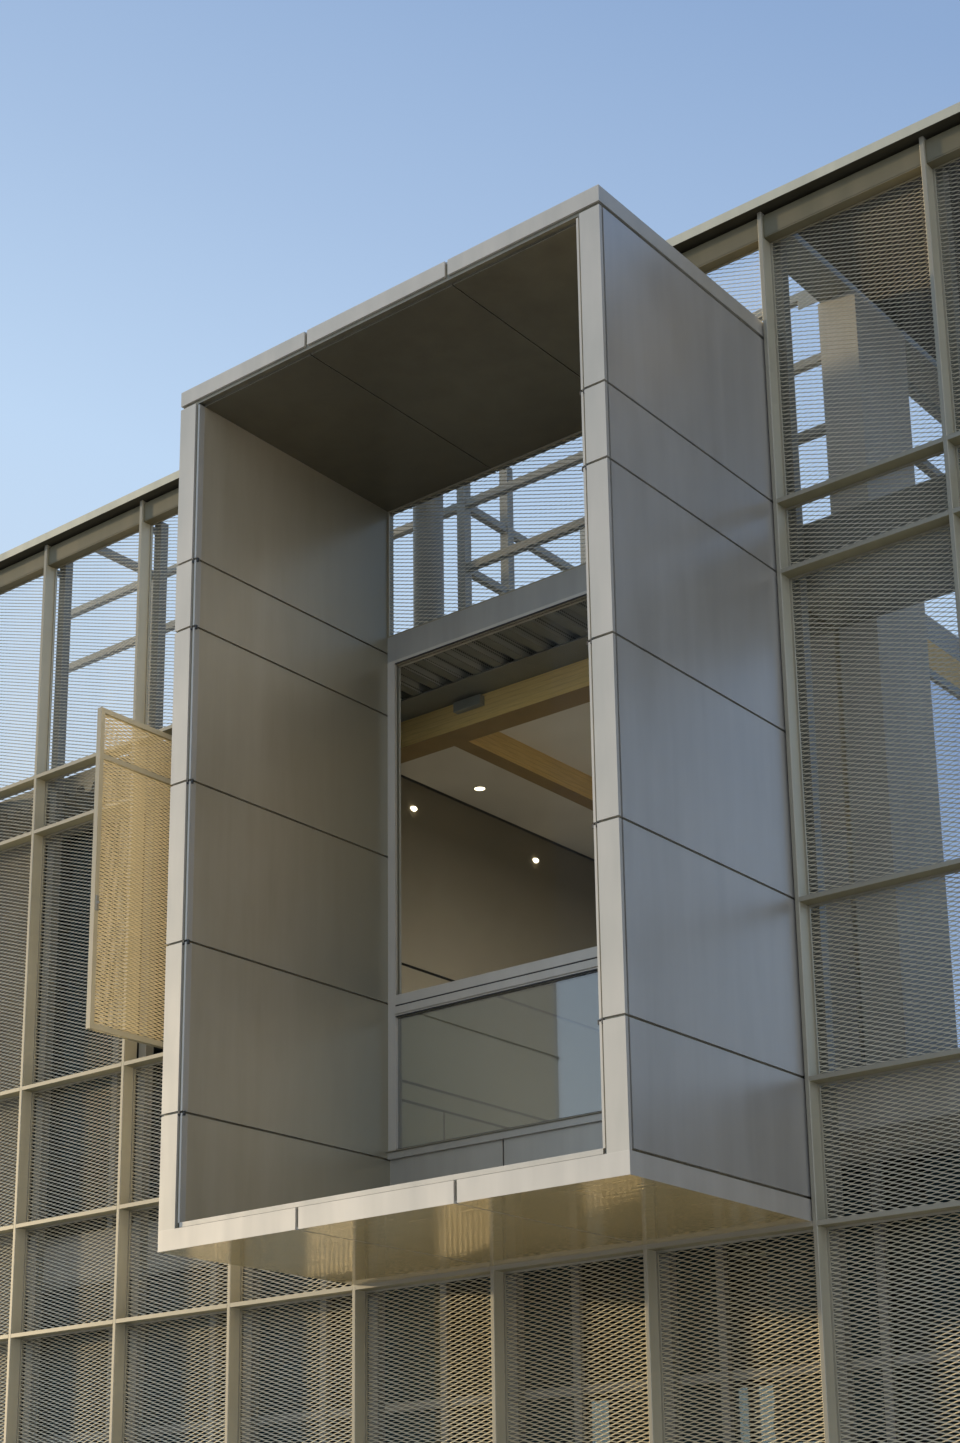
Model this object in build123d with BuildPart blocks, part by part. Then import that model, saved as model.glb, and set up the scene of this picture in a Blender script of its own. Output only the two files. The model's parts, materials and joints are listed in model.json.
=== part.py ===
"""Office building of two storeys: a mesh screen on steel fins stands in front of the rooms and of an open
terrace, and a deep metal portal frames the large window of the upper room."""

import os

from build123d import *

os.makedirs("parts", exist_ok=True)

# Grid, in millimetres: X runs along the facade from the portal's middle, Y into the building, Z up
BAY = 1200
BAYS_BESIDE_PORTAL = 4
BAYS_IN_PORTAL = 3
BAYS_BETWEEN_COLUMNS = 3
BAYS_PER_REAR_WINDOW = 2
BUILDING_DEPTH = 7200

# Heights, each one measured from the level before it
SLAB_TOP = 150
GROUND_SCREEN_HEIGHT = 3720
PORTAL_BASE_THICKNESS = 165
SPANDREL_HEIGHT = 700
GUARD_HEIGHT = 1120
SHUTTER_HEIGHT = 2195
TOP_LIGHT_HEIGHT = 495
PORTAL_RISE = 1318
CANOPY_RISE = 697
CANOPY_THICKNESS = 120

# Screen
FIN_WIDTH = 30
FIN_DEPTH = 130
FIN_CHAMFER = 3
TRANSOM_HEIGHT = 30
MESH_THICKNESS = 6
MESH_REAR_GAP = 14
MESH_OPENINGS_ACROSS = 2
MESH_OPEN_SIDE = 0.7
COPING_HEIGHT = 70
COPING_OVERHANG = 60
FASCIA_HEIGHT = 155
FASCIA_GAP = 25
FASCIA_SETBACK = 20
FASCIA_SHEET = 12
FASCIA_RETURN = 52
POST_SIZE = 80
BRACKET_WIDTH = 10
BRACKET_HEIGHT = 60

# Portal
PORTAL_DEPTH = 1835
PORTAL_WALL = 176
PORTAL_SIDE_GAP = 10
PORTAL_ROOF_THICKNESS = 150
PANEL = 15
PANEL_JOINT = 16
SOFFIT_JOINT = 12
SOFFIT_GROOVE = 8
CAP_HEIGHT = 108
CAP_GAP = 28
BASE_BAND = 130
LEDGE_HEIGHT = 30
LEDGE_SETBACK = 10
NOTCH_WIDTH = 24
JAMB_FACE = 145
JAMB_RETURN = 25
INNER_STRIP_SETBACK = 10
INNER_STRIP_DEPTH = 47

# Window at the back of the portal
WINDOW_Y = 130
WINDOW_DEPTH = 70
WINDOW_STILE = 70
WINDOW_RAIL = 160
WINDOW_RAIL_RISE = 50
WINDOW_SILL = 65
WINDOW_HEAD = 30
GLASS = 24
CHANNEL_HEIGHT = 200
CHANNEL_WEB = 12
SPANDREL_SETBACK = 20

# Floors, columns, walls and roof
KERB = 60
FLOOR_THICKNESS = 300
WALL = 200
END_PANELS = 3
PARTITION = 120
PARTITION_OFFSET = 60
BLADE_WIDTH = 290
BLADE_DEPTH = 730
COLUMN_GAP = 10
COLUMN_SIZE = 250
REAR_COLUMN_INSET = 75
BEAM_HEIGHT = 230
EDGE_BEAM_WIDTH = 240
CROSS_BEAM_WIDTH = 140
HEADER_WIDTH = 60
DECK_RIB_PITCH = 200
DECK_RIB_HEIGHT = 75
DECK_RIB_FOOT = 70
DECK_RIB_SLOPE = 25
LEFT_DECK_FRONT = 410
CEILING = 20

# Glazing behind the screen and at the rear
INNER_FACADE_Y = 1000
FRAME_FACE = 60
FRAME_DEPTH = 120
TERRACE_FRAME = 60
FRAME_JOINT = 5
LOUNGE_REAR_Y = 4900
LOUNGE_SIDE_PANES = 3
TERRACE_SIDE_PANES = 2
REAR_WINDOW_PANES = 2
REAR_OPENING_INSET = 400

# Open terrace
TERRACE_BEAM_DEPTH = 600
CANOPY_DEPTH = 3000
CANOPY_BEAM_WIDTH = 250
CANOPY_SLOT = 40
CANOPY_PANEL = 40
PURLIN = 60

# Roof frame and flue
RAIL_SIZE = 60
RAIL_HEIGHTS = (1220, 1785, 2340)
RAIL_POST = 80
RAIL_Y = 1300
SECOND_POST_OFFSET = 565
THIRD_POST_OFFSET = 1700
FLUE_DIAMETER = 240
FLUE_Y = 850
FLUE_HEIGHT = 1680
FLUE_SHOULDER = 50
FLUE_POST_OFFSET = 370

# Open shutter in the screen, turned square to the facade about an upright pivot
SHUTTER_BAY = 2
SHUTTER_GAP = 50
SHUTTER_EDGE_GAP = 10
SHUTTER_FRAME = 45
SHUTTER_BAR = 40
SHUTTER_PIVOT = 400
PIVOT_DIAMETER = 20

# Levels that follow from the heights
PORTAL_BOTTOM = SLAB_TOP + GROUND_SCREEN_HEIGHT
PORTAL_FLOOR = PORTAL_BOTTOM + PORTAL_BASE_THICKNESS
FIRST_FLOOR = PORTAL_FLOOR + SPANDREL_HEIGHT
GUARD_LEVEL = FIRST_FLOOR + GUARD_HEIGHT
HEAD_LEVEL = GUARD_LEVEL + SHUTTER_HEIGHT
ROOF_LEVEL = HEAD_LEVEL + TOP_LIGHT_HEIGHT
PORTAL_TOP = ROOF_LEVEL + PORTAL_RISE
CANOPY_UNDERSIDE = PORTAL_TOP + CANOPY_RISE
FIN_TOP = CANOPY_UNDERSIDE + CANOPY_THICKNESS
GROUND_GUARD = SLAB_TOP + GUARD_HEIGHT
FLOOR_UNDERSIDE = FIRST_FLOOR - FLOOR_THICKNESS
PORTAL_SOFFIT = PORTAL_TOP - PORTAL_ROOF_THICKNESS
FASCIA_TOP = FIN_TOP - FASCIA_GAP
FASCIA_BOTTOM = FASCIA_TOP - FASCIA_HEIGHT
DECK_BOTTOM = ROOF_LEVEL - DECK_RIB_HEIGHT
ROOF_TOP = DECK_BOTTOM + CHANNEL_HEIGHT
BEAM_BOTTOM = DECK_BOTTOM - BEAM_HEIGHT
PANEL_LEVELS = (FIRST_FLOOR, GUARD_LEVEL, (GUARD_LEVEL + HEAD_LEVEL) / 2, HEAD_LEVEL, ROOF_LEVEL)
SCREEN_LEVELS = (
    SLAB_TOP + TRANSOM_HEIGHT,
    GROUND_GUARD,
    PORTAL_BOTTOM,
    FIRST_FLOOR,
    GUARD_LEVEL,
    HEAD_LEVEL,
    ROOF_LEVEL,
)

BRACKET_LEVELS = SCREEN_LEVELS[1:] + (FASCIA_BOTTOM,)
RAIL_LEVELS = [ROOF_LEVEL + height for height in RAIL_HEIGHTS]

# Places that follow from the grid and the sizes
BAYS = 2 * BAYS_BESIDE_PORTAL + BAYS_IN_PORTAL
HALF_WIDTH = BAY * BAYS / 2
WALL_INNER_X = HALF_WIDTH - WALL
REAR_INNER_Y = BUILDING_DEPTH - WALL
FIRST_PORTAL_BAY = BAYS_BESIDE_PORTAL
LAST_PORTAL_BAY = FIRST_PORTAL_BAY + BAYS_IN_PORTAL
PORTAL_LINES = range(FIRST_PORTAL_BAY + 1, LAST_PORTAL_BAY)
CLEAR_LINES = [number for number in range(BAYS + 1) if number not in PORTAL_LINES]
RIGHT_PORTAL_X = BAY * BAYS_IN_PORTAL / 2
LEFT_PORTAL_X = -RIGHT_PORTAL_X
COLUMN_SPACING = BAYS_BETWEEN_COLUMNS * BAY
BLADE_LINES = (RIGHT_PORTAL_X, RIGHT_PORTAL_X + COLUMN_SPACING)
LEFT_COLUMN_LINES = (LEFT_PORTAL_X - COLUMN_SPACING, LEFT_PORTAL_X)
PORTAL_HALF = RIGHT_PORTAL_X - FIN_WIDTH / 2 - PORTAL_SIDE_GAP
PORTAL_INNER = PORTAL_HALF - PORTAL_WALL
PORTAL_REAR_Y = WINDOW_Y + WINDOW_DEPTH
POST_Y = PORTAL_REAR_Y
POST_REAR_Y = POST_Y + POST_SIZE
POST_INNER_X = RIGHT_PORTAL_X - POST_SIZE / 2
MESH_Y = FIN_DEPTH - MESH_REAR_GAP - MESH_THICKNESS
FRAME_Y = INNER_FACADE_Y - FRAME_DEPTH
COLUMN_Y = INNER_FACADE_Y + COLUMN_GAP
BLADE_REAR_Y = COLUMN_Y + BLADE_DEPTH
BEAM_REAR_Y = INNER_FACADE_Y + EDGE_BEAM_WIDTH
PARTITION_X = LEFT_PORTAL_X - BAY - PARTITION_OFFSET
LOUNGE_LEFT_X = PARTITION_X + PARTITION
LOUNGE_RIGHT_X = RIGHT_PORTAL_X - BLADE_WIDTH / 2
HEADER_X = LOUNGE_RIGHT_X - HEADER_WIDTH
WING_X = LEFT_PORTAL_X + CROSS_BEAM_WIDTH / 2
CROSS_BEAM_X = LEFT_PORTAL_X - CROSS_BEAM_WIDTH / 2
TERRACE_GLAZING_X = LEFT_PORTAL_X - TERRACE_FRAME / 2
LOUNGE_GLAZING_X = LOUNGE_RIGHT_X - TERRACE_FRAME
LOUNGE_GLAZING_Y = LOUNGE_REAR_Y - TERRACE_FRAME
CANOPY_REAR_Y = POST_Y + CANOPY_DEPTH
RAIL_POST_ROWS = (RAIL_Y, RAIL_Y + SECOND_POST_OFFSET, RAIL_Y + THIRD_POST_OFFSET)
RAIL_POST_TOP = RAIL_LEVELS[-1] + RAIL_SIZE / 2
LEFT_POST_X = LEFT_COLUMN_LINES[0]
FLUE_POST_X = LEFT_PORTAL_X - FLUE_POST_OFFSET
FLUE_POST_Y = RAIL_Y - RAIL_SIZE / 2 - RAIL_POST / 2
CORE_HALF = PORTAL_HALF - PANEL
CORE_FRONT_Y = PANEL - PORTAL_DEPTH
CLADDING_TOP = PORTAL_TOP - CAP_HEIGHT - CAP_GAP
CLADDING_BOTTOM = PORTAL_BOTTOM + BASE_BAND
INNER_FRONT_Y = -PORTAL_DEPTH + INNER_STRIP_SETBACK + INNER_STRIP_DEPTH
PANEL_EDGES = (
    (-PORTAL_INNER, -BAY / 2 - SOFFIT_JOINT),
    (-BAY / 2, BAY / 2),
    (BAY / 2 + SOFFIT_JOINT, PORTAL_INNER),
)
WINDOW_PANES = (
    (FIRST_FLOOR + WINDOW_SILL, GUARD_LEVEL + WINDOW_RAIL_RISE - WINDOW_RAIL),
    (GUARD_LEVEL + WINDOW_RAIL_RISE, DECK_BOTTOM - WINDOW_HEAD),
)


def line_x(number):
    """Where a numbered grid line of the facade lies, counted from the left end."""
    return (number - BAYS / 2) * BAY


def bar(x0, x1, y0, y1, z0, z1, mode=Mode.ADD):
    """A square-edged bar between two corners."""
    with Locations(((x0 + x1) / 2, (y0 + y1) / 2, (z0 + z1) / 2)):
        Box(x1 - x0, y1 - y0, z1 - z0, mode=mode)


def pane_width(length, divisions):
    """Clear width of each pane where a frame of a given length has mullions between its panes."""
    return (length - (divisions + 1) * FRAME_FACE) / divisions


def frame_facing_y(x0, x1, y0, y1, z0, z1, divisions):
    """A glazing frame along the facade, with a mullion between each two panes."""
    pane = pane_width(x1 - x0, divisions)
    with BuildSketch(Plane.XZ.offset(-y1)) as outline:
        with Locations(((x0 + x1) / 2, (z0 + z1) / 2)):
            Rectangle(x1 - x0, z1 - z0)
            with GridLocations(pane + FRAME_FACE, 1, divisions, 1):
                Rectangle(pane, z1 - z0 - 2 * FRAME_FACE, mode=Mode.SUBTRACT)
    extrude(outline.sketch, amount=y1 - y0)


def frame_facing_x(x0, x1, y0, y1, z0, z1, divisions):
    """A glazing frame square to the facade, with a mullion between each two panes."""
    pane = pane_width(y1 - y0, divisions)
    with BuildSketch(Plane.YZ.offset(x0)) as outline:
        with Locations(((y0 + y1) / 2, (z0 + z1) / 2)):
            Rectangle(y1 - y0, z1 - z0)
            with GridLocations(pane + FRAME_FACE, 1, divisions, 1):
                Rectangle(pane, z1 - z0 - 2 * FRAME_FACE, mode=Mode.SUBTRACT)
    extrude(outline.sketch, amount=x1 - x0)


def panes_facing_y(x0, x1, y, z0, z1, divisions):
    """The panes that fill a frame along the facade."""
    pane = pane_width(x1 - x0, divisions)
    with Locations(((x0 + x1) / 2, y, (z0 + z1) / 2)):
        with GridLocations(pane + FRAME_FACE, 1, divisions, 1):
            Box(pane, GLASS, z1 - z0 - 2 * FRAME_FACE)


def panes_facing_x(x, y0, y1, z0, z1, divisions):
    """The panes that fill a frame square to the facade."""
    pane = pane_width(y1 - y0, divisions)
    with Locations((x, (y0 + y1) / 2, (z0 + z1) / 2)):
        with GridLocations(1, pane + FRAME_FACE, 1, divisions):
            Box(GLASS, pane, z1 - z0 - 2 * FRAME_FACE)


def keep(piece, name):
    """Names a finished piece and writes it."""
    piece.part.label = name
    export_step(piece.part, f"parts/{name}.step")


def in_portal(bay):
    return FIRST_PORTAL_BAY <= bay < LAST_PORTAL_BAY


def bay_sides(bay):
    """The two faces of the fins that a bay lies between."""
    return line_x(bay) + FIN_WIDTH / 2, line_x(bay + 1) - FIN_WIDTH / 2


def transom_levels(bay):
    """Top faces of the transoms in a bay."""
    if in_portal(bay):
        return [level for level in SCREEN_LEVELS if level <= PORTAL_BOTTOM]
    if bay == SHUTTER_BAY:
        return [level for level in SCREEN_LEVELS if level != HEAD_LEVEL]
    return list(SCREEN_LEVELS)


def mesh_cells(bay):
    """Lower and upper edge of each sheet of mesh in a bay."""
    levels = transom_levels(bay)
    cells = [(low, high - TRANSOM_HEIGHT) for low, high in zip(levels, levels[1:])]
    if in_portal(bay):
        return cells + [(PORTAL_TOP, FASCIA_BOTTOM)]
    if bay == SHUTTER_BAY:
        cells.remove((GUARD_LEVEL, ROOF_LEVEL - TRANSOM_HEIGHT))
    return cells + [(ROOF_LEVEL, FASCIA_BOTTOM)]


def joined_levels(bottom, top, gap):
    """Lower and upper edge of each cladding panel between the panel joints."""
    inner = [level for level in PANEL_LEVELS if bottom < level < top]
    lows = [bottom] + [level + gap / 2 for level in inner]
    highs = [level - gap / 2 for level in inner] + [top]
    return list(zip(lows, highs))


def bay_groups(first, last):
    """The first bay of each rear window, and the bay after its last."""
    starts = range(first, last, BAYS_PER_REAR_WINDOW)
    return [(start, min(start + BAYS_PER_REAR_WINDOW, last)) for start in starts]


def rear_openings():
    """Sides, sill and head of each window opening in the rear wall."""
    left = bay_groups(0, FIRST_PORTAL_BAY)
    middle = [(FIRST_PORTAL_BAY, LAST_PORTAL_BAY)]
    right = bay_groups(LAST_PORTAL_BAY, BAYS)
    spans = [(group, GROUND_GUARD, PORTAL_BOTTOM) for group in left + middle + right]
    spans += [(group, GUARD_LEVEL, HEAD_LEVEL) for group in left]
    return [
        (line_x(start) + REAR_OPENING_INSET, line_x(end) - REAR_OPENING_INSET, sill, head)
        for (start, end), sill, head in spans
    ]


def end_wall(outer_x, inner_x, top):
    """An end wall with shadow joints between its cladding panels."""
    bar(min(outer_x, inner_x), max(outer_x, inner_x), POST_REAR_Y, BUILDING_DEPTH, SLAB_TOP, top)
    joint_x0, joint_x1 = outer_x - PANEL, outer_x + PANEL
    for level in (GROUND_GUARD, PORTAL_BOTTOM) + PANEL_LEVELS:
        if level < top:
            bar(joint_x0, joint_x1, 0, BUILDING_DEPTH, level - PANEL_JOINT, level, Mode.SUBTRACT)
    for number in range(1, END_PANELS):
        joint_y = POST_REAR_Y + number * (BUILDING_DEPTH - POST_REAR_Y) / END_PANELS
        bar(joint_x0, joint_x1, joint_y, joint_y + PANEL_JOINT, 0, top, Mode.SUBTRACT)


def deck_outline(left, right):
    """Section of the roof deck between two sides: a flat top, and ribs that hang below."""
    points = [(left, ROOF_TOP)]
    side = DECK_RIB_FOOT / 2
    rib = left
    while rib < right:
        for x, z in (
            (rib, DECK_BOTTOM),
            (rib + side, DECK_BOTTOM),
            (rib + side + DECK_RIB_SLOPE, ROOF_LEVEL),
            (rib + DECK_RIB_PITCH - side - DECK_RIB_SLOPE, ROOF_LEVEL),
            (rib + DECK_RIB_PITCH - side, DECK_BOTTOM),
        ):
            if x < right:
                points.append((x, z))
        rib += DECK_RIB_PITCH
    return points + [(right, DECK_BOTTOM), (right, ROOF_TOP)]


def mesh_sheets(bays):
    """The sheets of expanded metal between the fins and transoms of some bays, with a grid of openings whose
    share of the sheet is about that of the real diamonds."""
    middles = {}
    for bay in bays:
        for cell in mesh_cells(bay):
            middles.setdefault(cell, []).append(line_x(bay) + BAY / 2)
    width = BAY - FIN_WIDTH
    pitch_x = width / MESH_OPENINGS_ACROSS
    with BuildSketch(Plane.XZ.offset(-MESH_Y - MESH_THICKNESS)) as sheets:
        for (low, high), places in middles.items():
            rows = max(1, round((high - low) / pitch_x))
            pitch_z = (high - low) / rows
            with Locations(*[(x, (low + high) / 2) for x in places]):
                Rectangle(width, high - low)
                with GridLocations(pitch_x, pitch_z, MESH_OPENINGS_ACROSS, rows):
                    Rectangle(MESH_OPEN_SIDE * pitch_x, MESH_OPEN_SIDE * pitch_z, mode=Mode.SUBTRACT)
    extrude(sheets.sketch, amount=MESH_THICKNESS)


def inside_ends(number, half):
    """The X of a grid line, drawn in at the building's ends by half the width of what stands there."""
    return max(-HALF_WIDTH + half, min(HALF_WIDTH - half, line_x(number)))


def tray(bottom, top, hollow_bottom, hollow_top):
    """A folded tray across the portal: a flat sheet with a skirt on its front and both sides."""
    bar(-PORTAL_HALF, PORTAL_HALF, -PORTAL_DEPTH, PORTAL_REAR_Y, bottom, top)
    bar(-CORE_HALF, CORE_HALF, CORE_FRONT_Y, PORTAL_REAR_Y, hollow_bottom, hollow_top, Mode.SUBTRACT)
    for notch_x in (-BAY / 2, BAY / 2):
        notch_left, notch_right = notch_x - NOTCH_WIDTH / 2, notch_x + NOTCH_WIDTH / 2
        bar(notch_left, notch_right, -PORTAL_DEPTH, CORE_FRONT_Y, bottom, top, Mode.SUBTRACT)


# Ground floor slab, with a kerb in front of the screen's feet
with BuildPart() as ground_slab:
    bar(-HALF_WIDTH, HALF_WIDTH, -KERB, BUILDING_DEPTH, 0, SLAB_TOP)
keep(ground_slab, "ground_slab")

# First floor slab: it reaches the window in the portal, and the screen's posts at the lounge and the terrace
with BuildPart() as first_floor_slab:
    with BuildSketch(Plane.XY.offset(FLOOR_UNDERSIDE)):
        with BuildLine():
            Polyline(
                (-WALL_INNER_X, FRAME_Y),
                (PARTITION_X, FRAME_Y),
                (PARTITION_X, POST_REAR_Y),
                (-POST_INNER_X, POST_REAR_Y),
                (-POST_INNER_X, PORTAL_REAR_Y),
                (POST_INNER_X, PORTAL_REAR_Y),
                (POST_INNER_X, POST_REAR_Y),
                (WALL_INNER_X, POST_REAR_Y),
                (WALL_INNER_X, REAR_INNER_Y),
                (-WALL_INNER_X, REAR_INNER_Y),
                close=True,
            )
        make_face()
    extrude(amount=FLOOR_THICKNESS)
keep(first_floor_slab, "first_floor_slab")

# End walls: the left one closes two storeys, the right one is a parapet beside the terrace
with BuildPart() as left_end_wall:
    end_wall(-HALF_WIDTH, -WALL_INNER_X, ROOF_TOP)
keep(left_end_wall, "left_end_wall")
with BuildPart() as right_end_wall:
    end_wall(HALF_WIDTH, WALL_INNER_X, GUARD_LEVEL)
keep(right_end_wall, "right_end_wall")

# Rear wall: two storeys behind the left rooms, a parapet behind the terrace, with its windows cut through
with BuildPart() as rear_wall:
    with BuildSketch(Plane.XZ.offset(-BUILDING_DEPTH)):
        with BuildLine():
            Polyline(
                (-WALL_INNER_X, SLAB_TOP),
                (WALL_INNER_X, SLAB_TOP),
                (WALL_INNER_X, GUARD_LEVEL),
                (WING_X, GUARD_LEVEL),
                (WING_X, ROOF_TOP),
                (-WALL_INNER_X, ROOF_TOP),
                close=True,
            )
        make_face()
        for left, right, sill, head in rear_openings():
            with Locations(((left + right) / 2, (sill + head) / 2)):
                Rectangle(right - left, head - sill, mode=Mode.SUBTRACT)
    extrude(amount=WALL)
keep(rear_wall, "rear_wall")

# Windows of the rear wall
with BuildPart() as rear_window_frames:
    for left, right, sill, head in rear_openings():
        frame_facing_y(left, right, REAR_INNER_Y, REAR_INNER_Y + FRAME_DEPTH, sill, head, REAR_WINDOW_PANES)
keep(rear_window_frames, "rear_window_frames")
with BuildPart() as rear_glass:
    for left, right, sill, head in rear_openings():
        panes_facing_y(left, right, REAR_INNER_Y + FRAME_DEPTH / 2, sill, head, REAR_WINDOW_PANES)
keep(rear_glass, "rear_glass")

# Wall between the upper rooms
with BuildPart() as partition:
    bar(PARTITION_X, LOUNGE_LEFT_X, POST_REAR_Y, REAR_INNER_Y, FIRST_FLOOR, DECK_BOTTOM)
keep(partition, "partition")

# Blade columns of the open side, from the ground to the first floor and from there to the canopy
with BuildPart() as blade_columns:
    for column_x in BLADE_LINES:
        for bottom, top in ((SLAB_TOP, FLOOR_UNDERSIDE), (FIRST_FLOOR, CANOPY_UNDERSIDE)):
            bar(column_x - BLADE_WIDTH / 2, column_x + BLADE_WIDTH / 2, COLUMN_Y, BLADE_REAR_Y, bottom, top)
keep(blade_columns, "blade_columns")

# Square columns of the ground floor, behind the front glazing and beside the rear wall
with BuildPart() as square_columns:
    rear_column_y = REAR_INNER_Y - REAR_COLUMN_INSET - COLUMN_SIZE
    places = [(column_x, COLUMN_Y) for column_x in LEFT_COLUMN_LINES]
    places += [(column_x, rear_column_y) for column_x in LEFT_COLUMN_LINES + BLADE_LINES]
    for column_x, front in places:
        half = COLUMN_SIZE / 2
        bar(column_x - half, column_x + half, front, front + COLUMN_SIZE, SLAB_TOP, FLOOR_UNDERSIDE)
keep(square_columns, "square_columns")

# Roof deck over the left rooms and the lounge
with BuildPart() as roof_deck:
    with BuildSketch(Plane.XZ.offset(-REAR_INNER_Y)):
        with BuildLine():
            Polyline(*deck_outline(-WALL_INNER_X, LOUNGE_RIGHT_X), close=True)
        make_face()
    extrude(amount=REAR_INNER_Y - PORTAL_REAR_Y)
    bar(WING_X, LOUNGE_RIGHT_X, LOUNGE_REAR_Y, REAR_INNER_Y, DECK_BOTTOM, ROOF_TOP, Mode.SUBTRACT)
    bar(-WALL_INNER_X, PARTITION_X, PORTAL_REAR_Y, LEFT_DECK_FRONT, DECK_BOTTOM, ROOF_TOP, Mode.SUBTRACT)
    bar(PARTITION_X, -POST_INNER_X, PORTAL_REAR_Y, POST_REAR_Y, DECK_BOTTOM, ROOF_TOP, Mode.SUBTRACT)
keep(roof_deck, "roof_deck")

# Steel channel on the roof's front edge, above the window
with BuildPart() as roof_edge_channel:
    with BuildSketch(Plane.YZ.offset(-PORTAL_INNER)):
        with BuildLine():
            Polyline(
                (WINDOW_Y, DECK_BOTTOM),
                (PORTAL_REAR_Y, DECK_BOTTOM),
                (PORTAL_REAR_Y, DECK_BOTTOM + CHANNEL_WEB),
                (WINDOW_Y + CHANNEL_WEB, DECK_BOTTOM + CHANNEL_WEB),
                (WINDOW_Y + CHANNEL_WEB, ROOF_TOP - CHANNEL_WEB),
                (PORTAL_REAR_Y, ROOF_TOP - CHANNEL_WEB),
                (PORTAL_REAR_Y, ROOF_TOP),
                (WINDOW_Y, ROOF_TOP),
                close=True,
            )
        make_face()
    extrude(amount=2 * PORTAL_INNER)
keep(roof_edge_channel, "roof_edge_channel")

# Laminated timber beams under the deck
with BuildPart() as glulam_edge_beam:
    bar(LOUNGE_LEFT_X, LOUNGE_RIGHT_X, INNER_FACADE_Y, BEAM_REAR_Y, BEAM_BOTTOM, DECK_BOTTOM)
keep(glulam_edge_beam, "glulam_edge_beam")
with BuildPart() as glulam_cross_beam:
    bar(CROSS_BEAM_X, WING_X, BEAM_REAR_Y, REAR_INNER_Y, BEAM_BOTTOM, DECK_BOTTOM)
keep(glulam_cross_beam, "glulam_cross_beam")
with BuildPart() as lounge_headers:
    bar(HEADER_X, LOUNGE_RIGHT_X, PORTAL_REAR_Y, INNER_FACADE_Y, BEAM_BOTTOM, DECK_BOTTOM)
    bar(HEADER_X, LOUNGE_RIGHT_X, BEAM_REAR_Y, LOUNGE_REAR_Y, BEAM_BOTTOM, DECK_BOTTOM)
    rear_header_y, rear_header_x = LOUNGE_REAR_Y - HEADER_WIDTH, HEADER_X - FRAME_JOINT
    bar(WING_X, rear_header_x, rear_header_y, LOUNGE_REAR_Y, BEAM_BOTTOM, DECK_BOTTOM)
keep(lounge_headers, "lounge_headers")

# Pale ceilings on both sides of the cross beam
with BuildPart() as room_ceiling:
    bar(LOUNGE_LEFT_X, CROSS_BEAM_X, BEAM_REAR_Y, REAR_INNER_Y, DECK_BOTTOM - CEILING, DECK_BOTTOM)
    bar(WING_X, HEADER_X, BEAM_REAR_Y, LOUNGE_REAR_Y - HEADER_WIDTH, DECK_BOTTOM - CEILING, DECK_BOTTOM)
keep(room_ceiling, "room_ceiling")

# Front glazing: the whole ground floor, the upper left rooms, and the bay between lounge and portal
FRONT_GLAZING = (
    (-WALL_INNER_X, WALL_INNER_X, FRAME_Y, SLAB_TOP, FLOOR_UNDERSIDE, BAYS),
    (-WALL_INNER_X, PARTITION_X, FRAME_Y, FIRST_FLOOR, DECK_BOTTOM, BAYS_BESIDE_PORTAL - 1),
    (LOUNGE_LEFT_X, -POST_INNER_X, POST_REAR_Y, FIRST_FLOOR, DECK_BOTTOM, 1),
)
with BuildPart() as front_frames:
    for left, right, front, bottom, top, divisions in FRONT_GLAZING:
        frame_facing_y(left, right, front, front + FRAME_DEPTH, bottom, top, divisions)
keep(front_frames, "front_frames")
with BuildPart() as front_glass:
    for left, right, front, bottom, top, divisions in FRONT_GLAZING:
        panes_facing_y(left, right, front + FRAME_DEPTH / 2, bottom, top, divisions)
keep(front_glass, "front_glass")

# Glazing between the rooms and the terrace, with sealed joints where the frames meet: behind the lounge,
# beside it, and along the left rooms
with BuildPart() as terrace_frames:
    frame_facing_y(
        TERRACE_GLAZING_X + TERRACE_FRAME + FRAME_JOINT,
        LOUNGE_GLAZING_X - FRAME_JOINT,
        LOUNGE_GLAZING_Y,
        LOUNGE_REAR_Y,
        FIRST_FLOOR,
        BEAM_BOTTOM,
        BAYS_IN_PORTAL,
    )
    frame_facing_x(
        LOUNGE_GLAZING_X,
        LOUNGE_RIGHT_X,
        PORTAL_REAR_Y,
        LOUNGE_REAR_Y,
        FIRST_FLOOR,
        BEAM_BOTTOM,
        LOUNGE_SIDE_PANES,
    )
    frame_facing_x(
        TERRACE_GLAZING_X,
        TERRACE_GLAZING_X + TERRACE_FRAME,
        LOUNGE_GLAZING_Y,
        REAR_INNER_Y,
        FIRST_FLOOR,
        BEAM_BOTTOM,
        TERRACE_SIDE_PANES,
    )
keep(terrace_frames, "terrace_frames")
with BuildPart() as terrace_glass:
    panes_facing_y(
        TERRACE_GLAZING_X + TERRACE_FRAME + FRAME_JOINT,
        LOUNGE_GLAZING_X - FRAME_JOINT,
        LOUNGE_GLAZING_Y + TERRACE_FRAME / 2,
        FIRST_FLOOR,
        BEAM_BOTTOM,
        BAYS_IN_PORTAL,
    )
    panes_facing_x(
        LOUNGE_GLAZING_X + TERRACE_FRAME / 2,
        PORTAL_REAR_Y,
        LOUNGE_REAR_Y,
        FIRST_FLOOR,
        BEAM_BOTTOM,
        LOUNGE_SIDE_PANES,
    )
    panes_facing_x(
        LEFT_PORTAL_X,
        LOUNGE_GLAZING_Y,
        REAR_INNER_Y,
        FIRST_FLOOR,
        BEAM_BOTTOM,
        TERRACE_SIDE_PANES,
    )
keep(terrace_glass, "terrace_glass")

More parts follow.
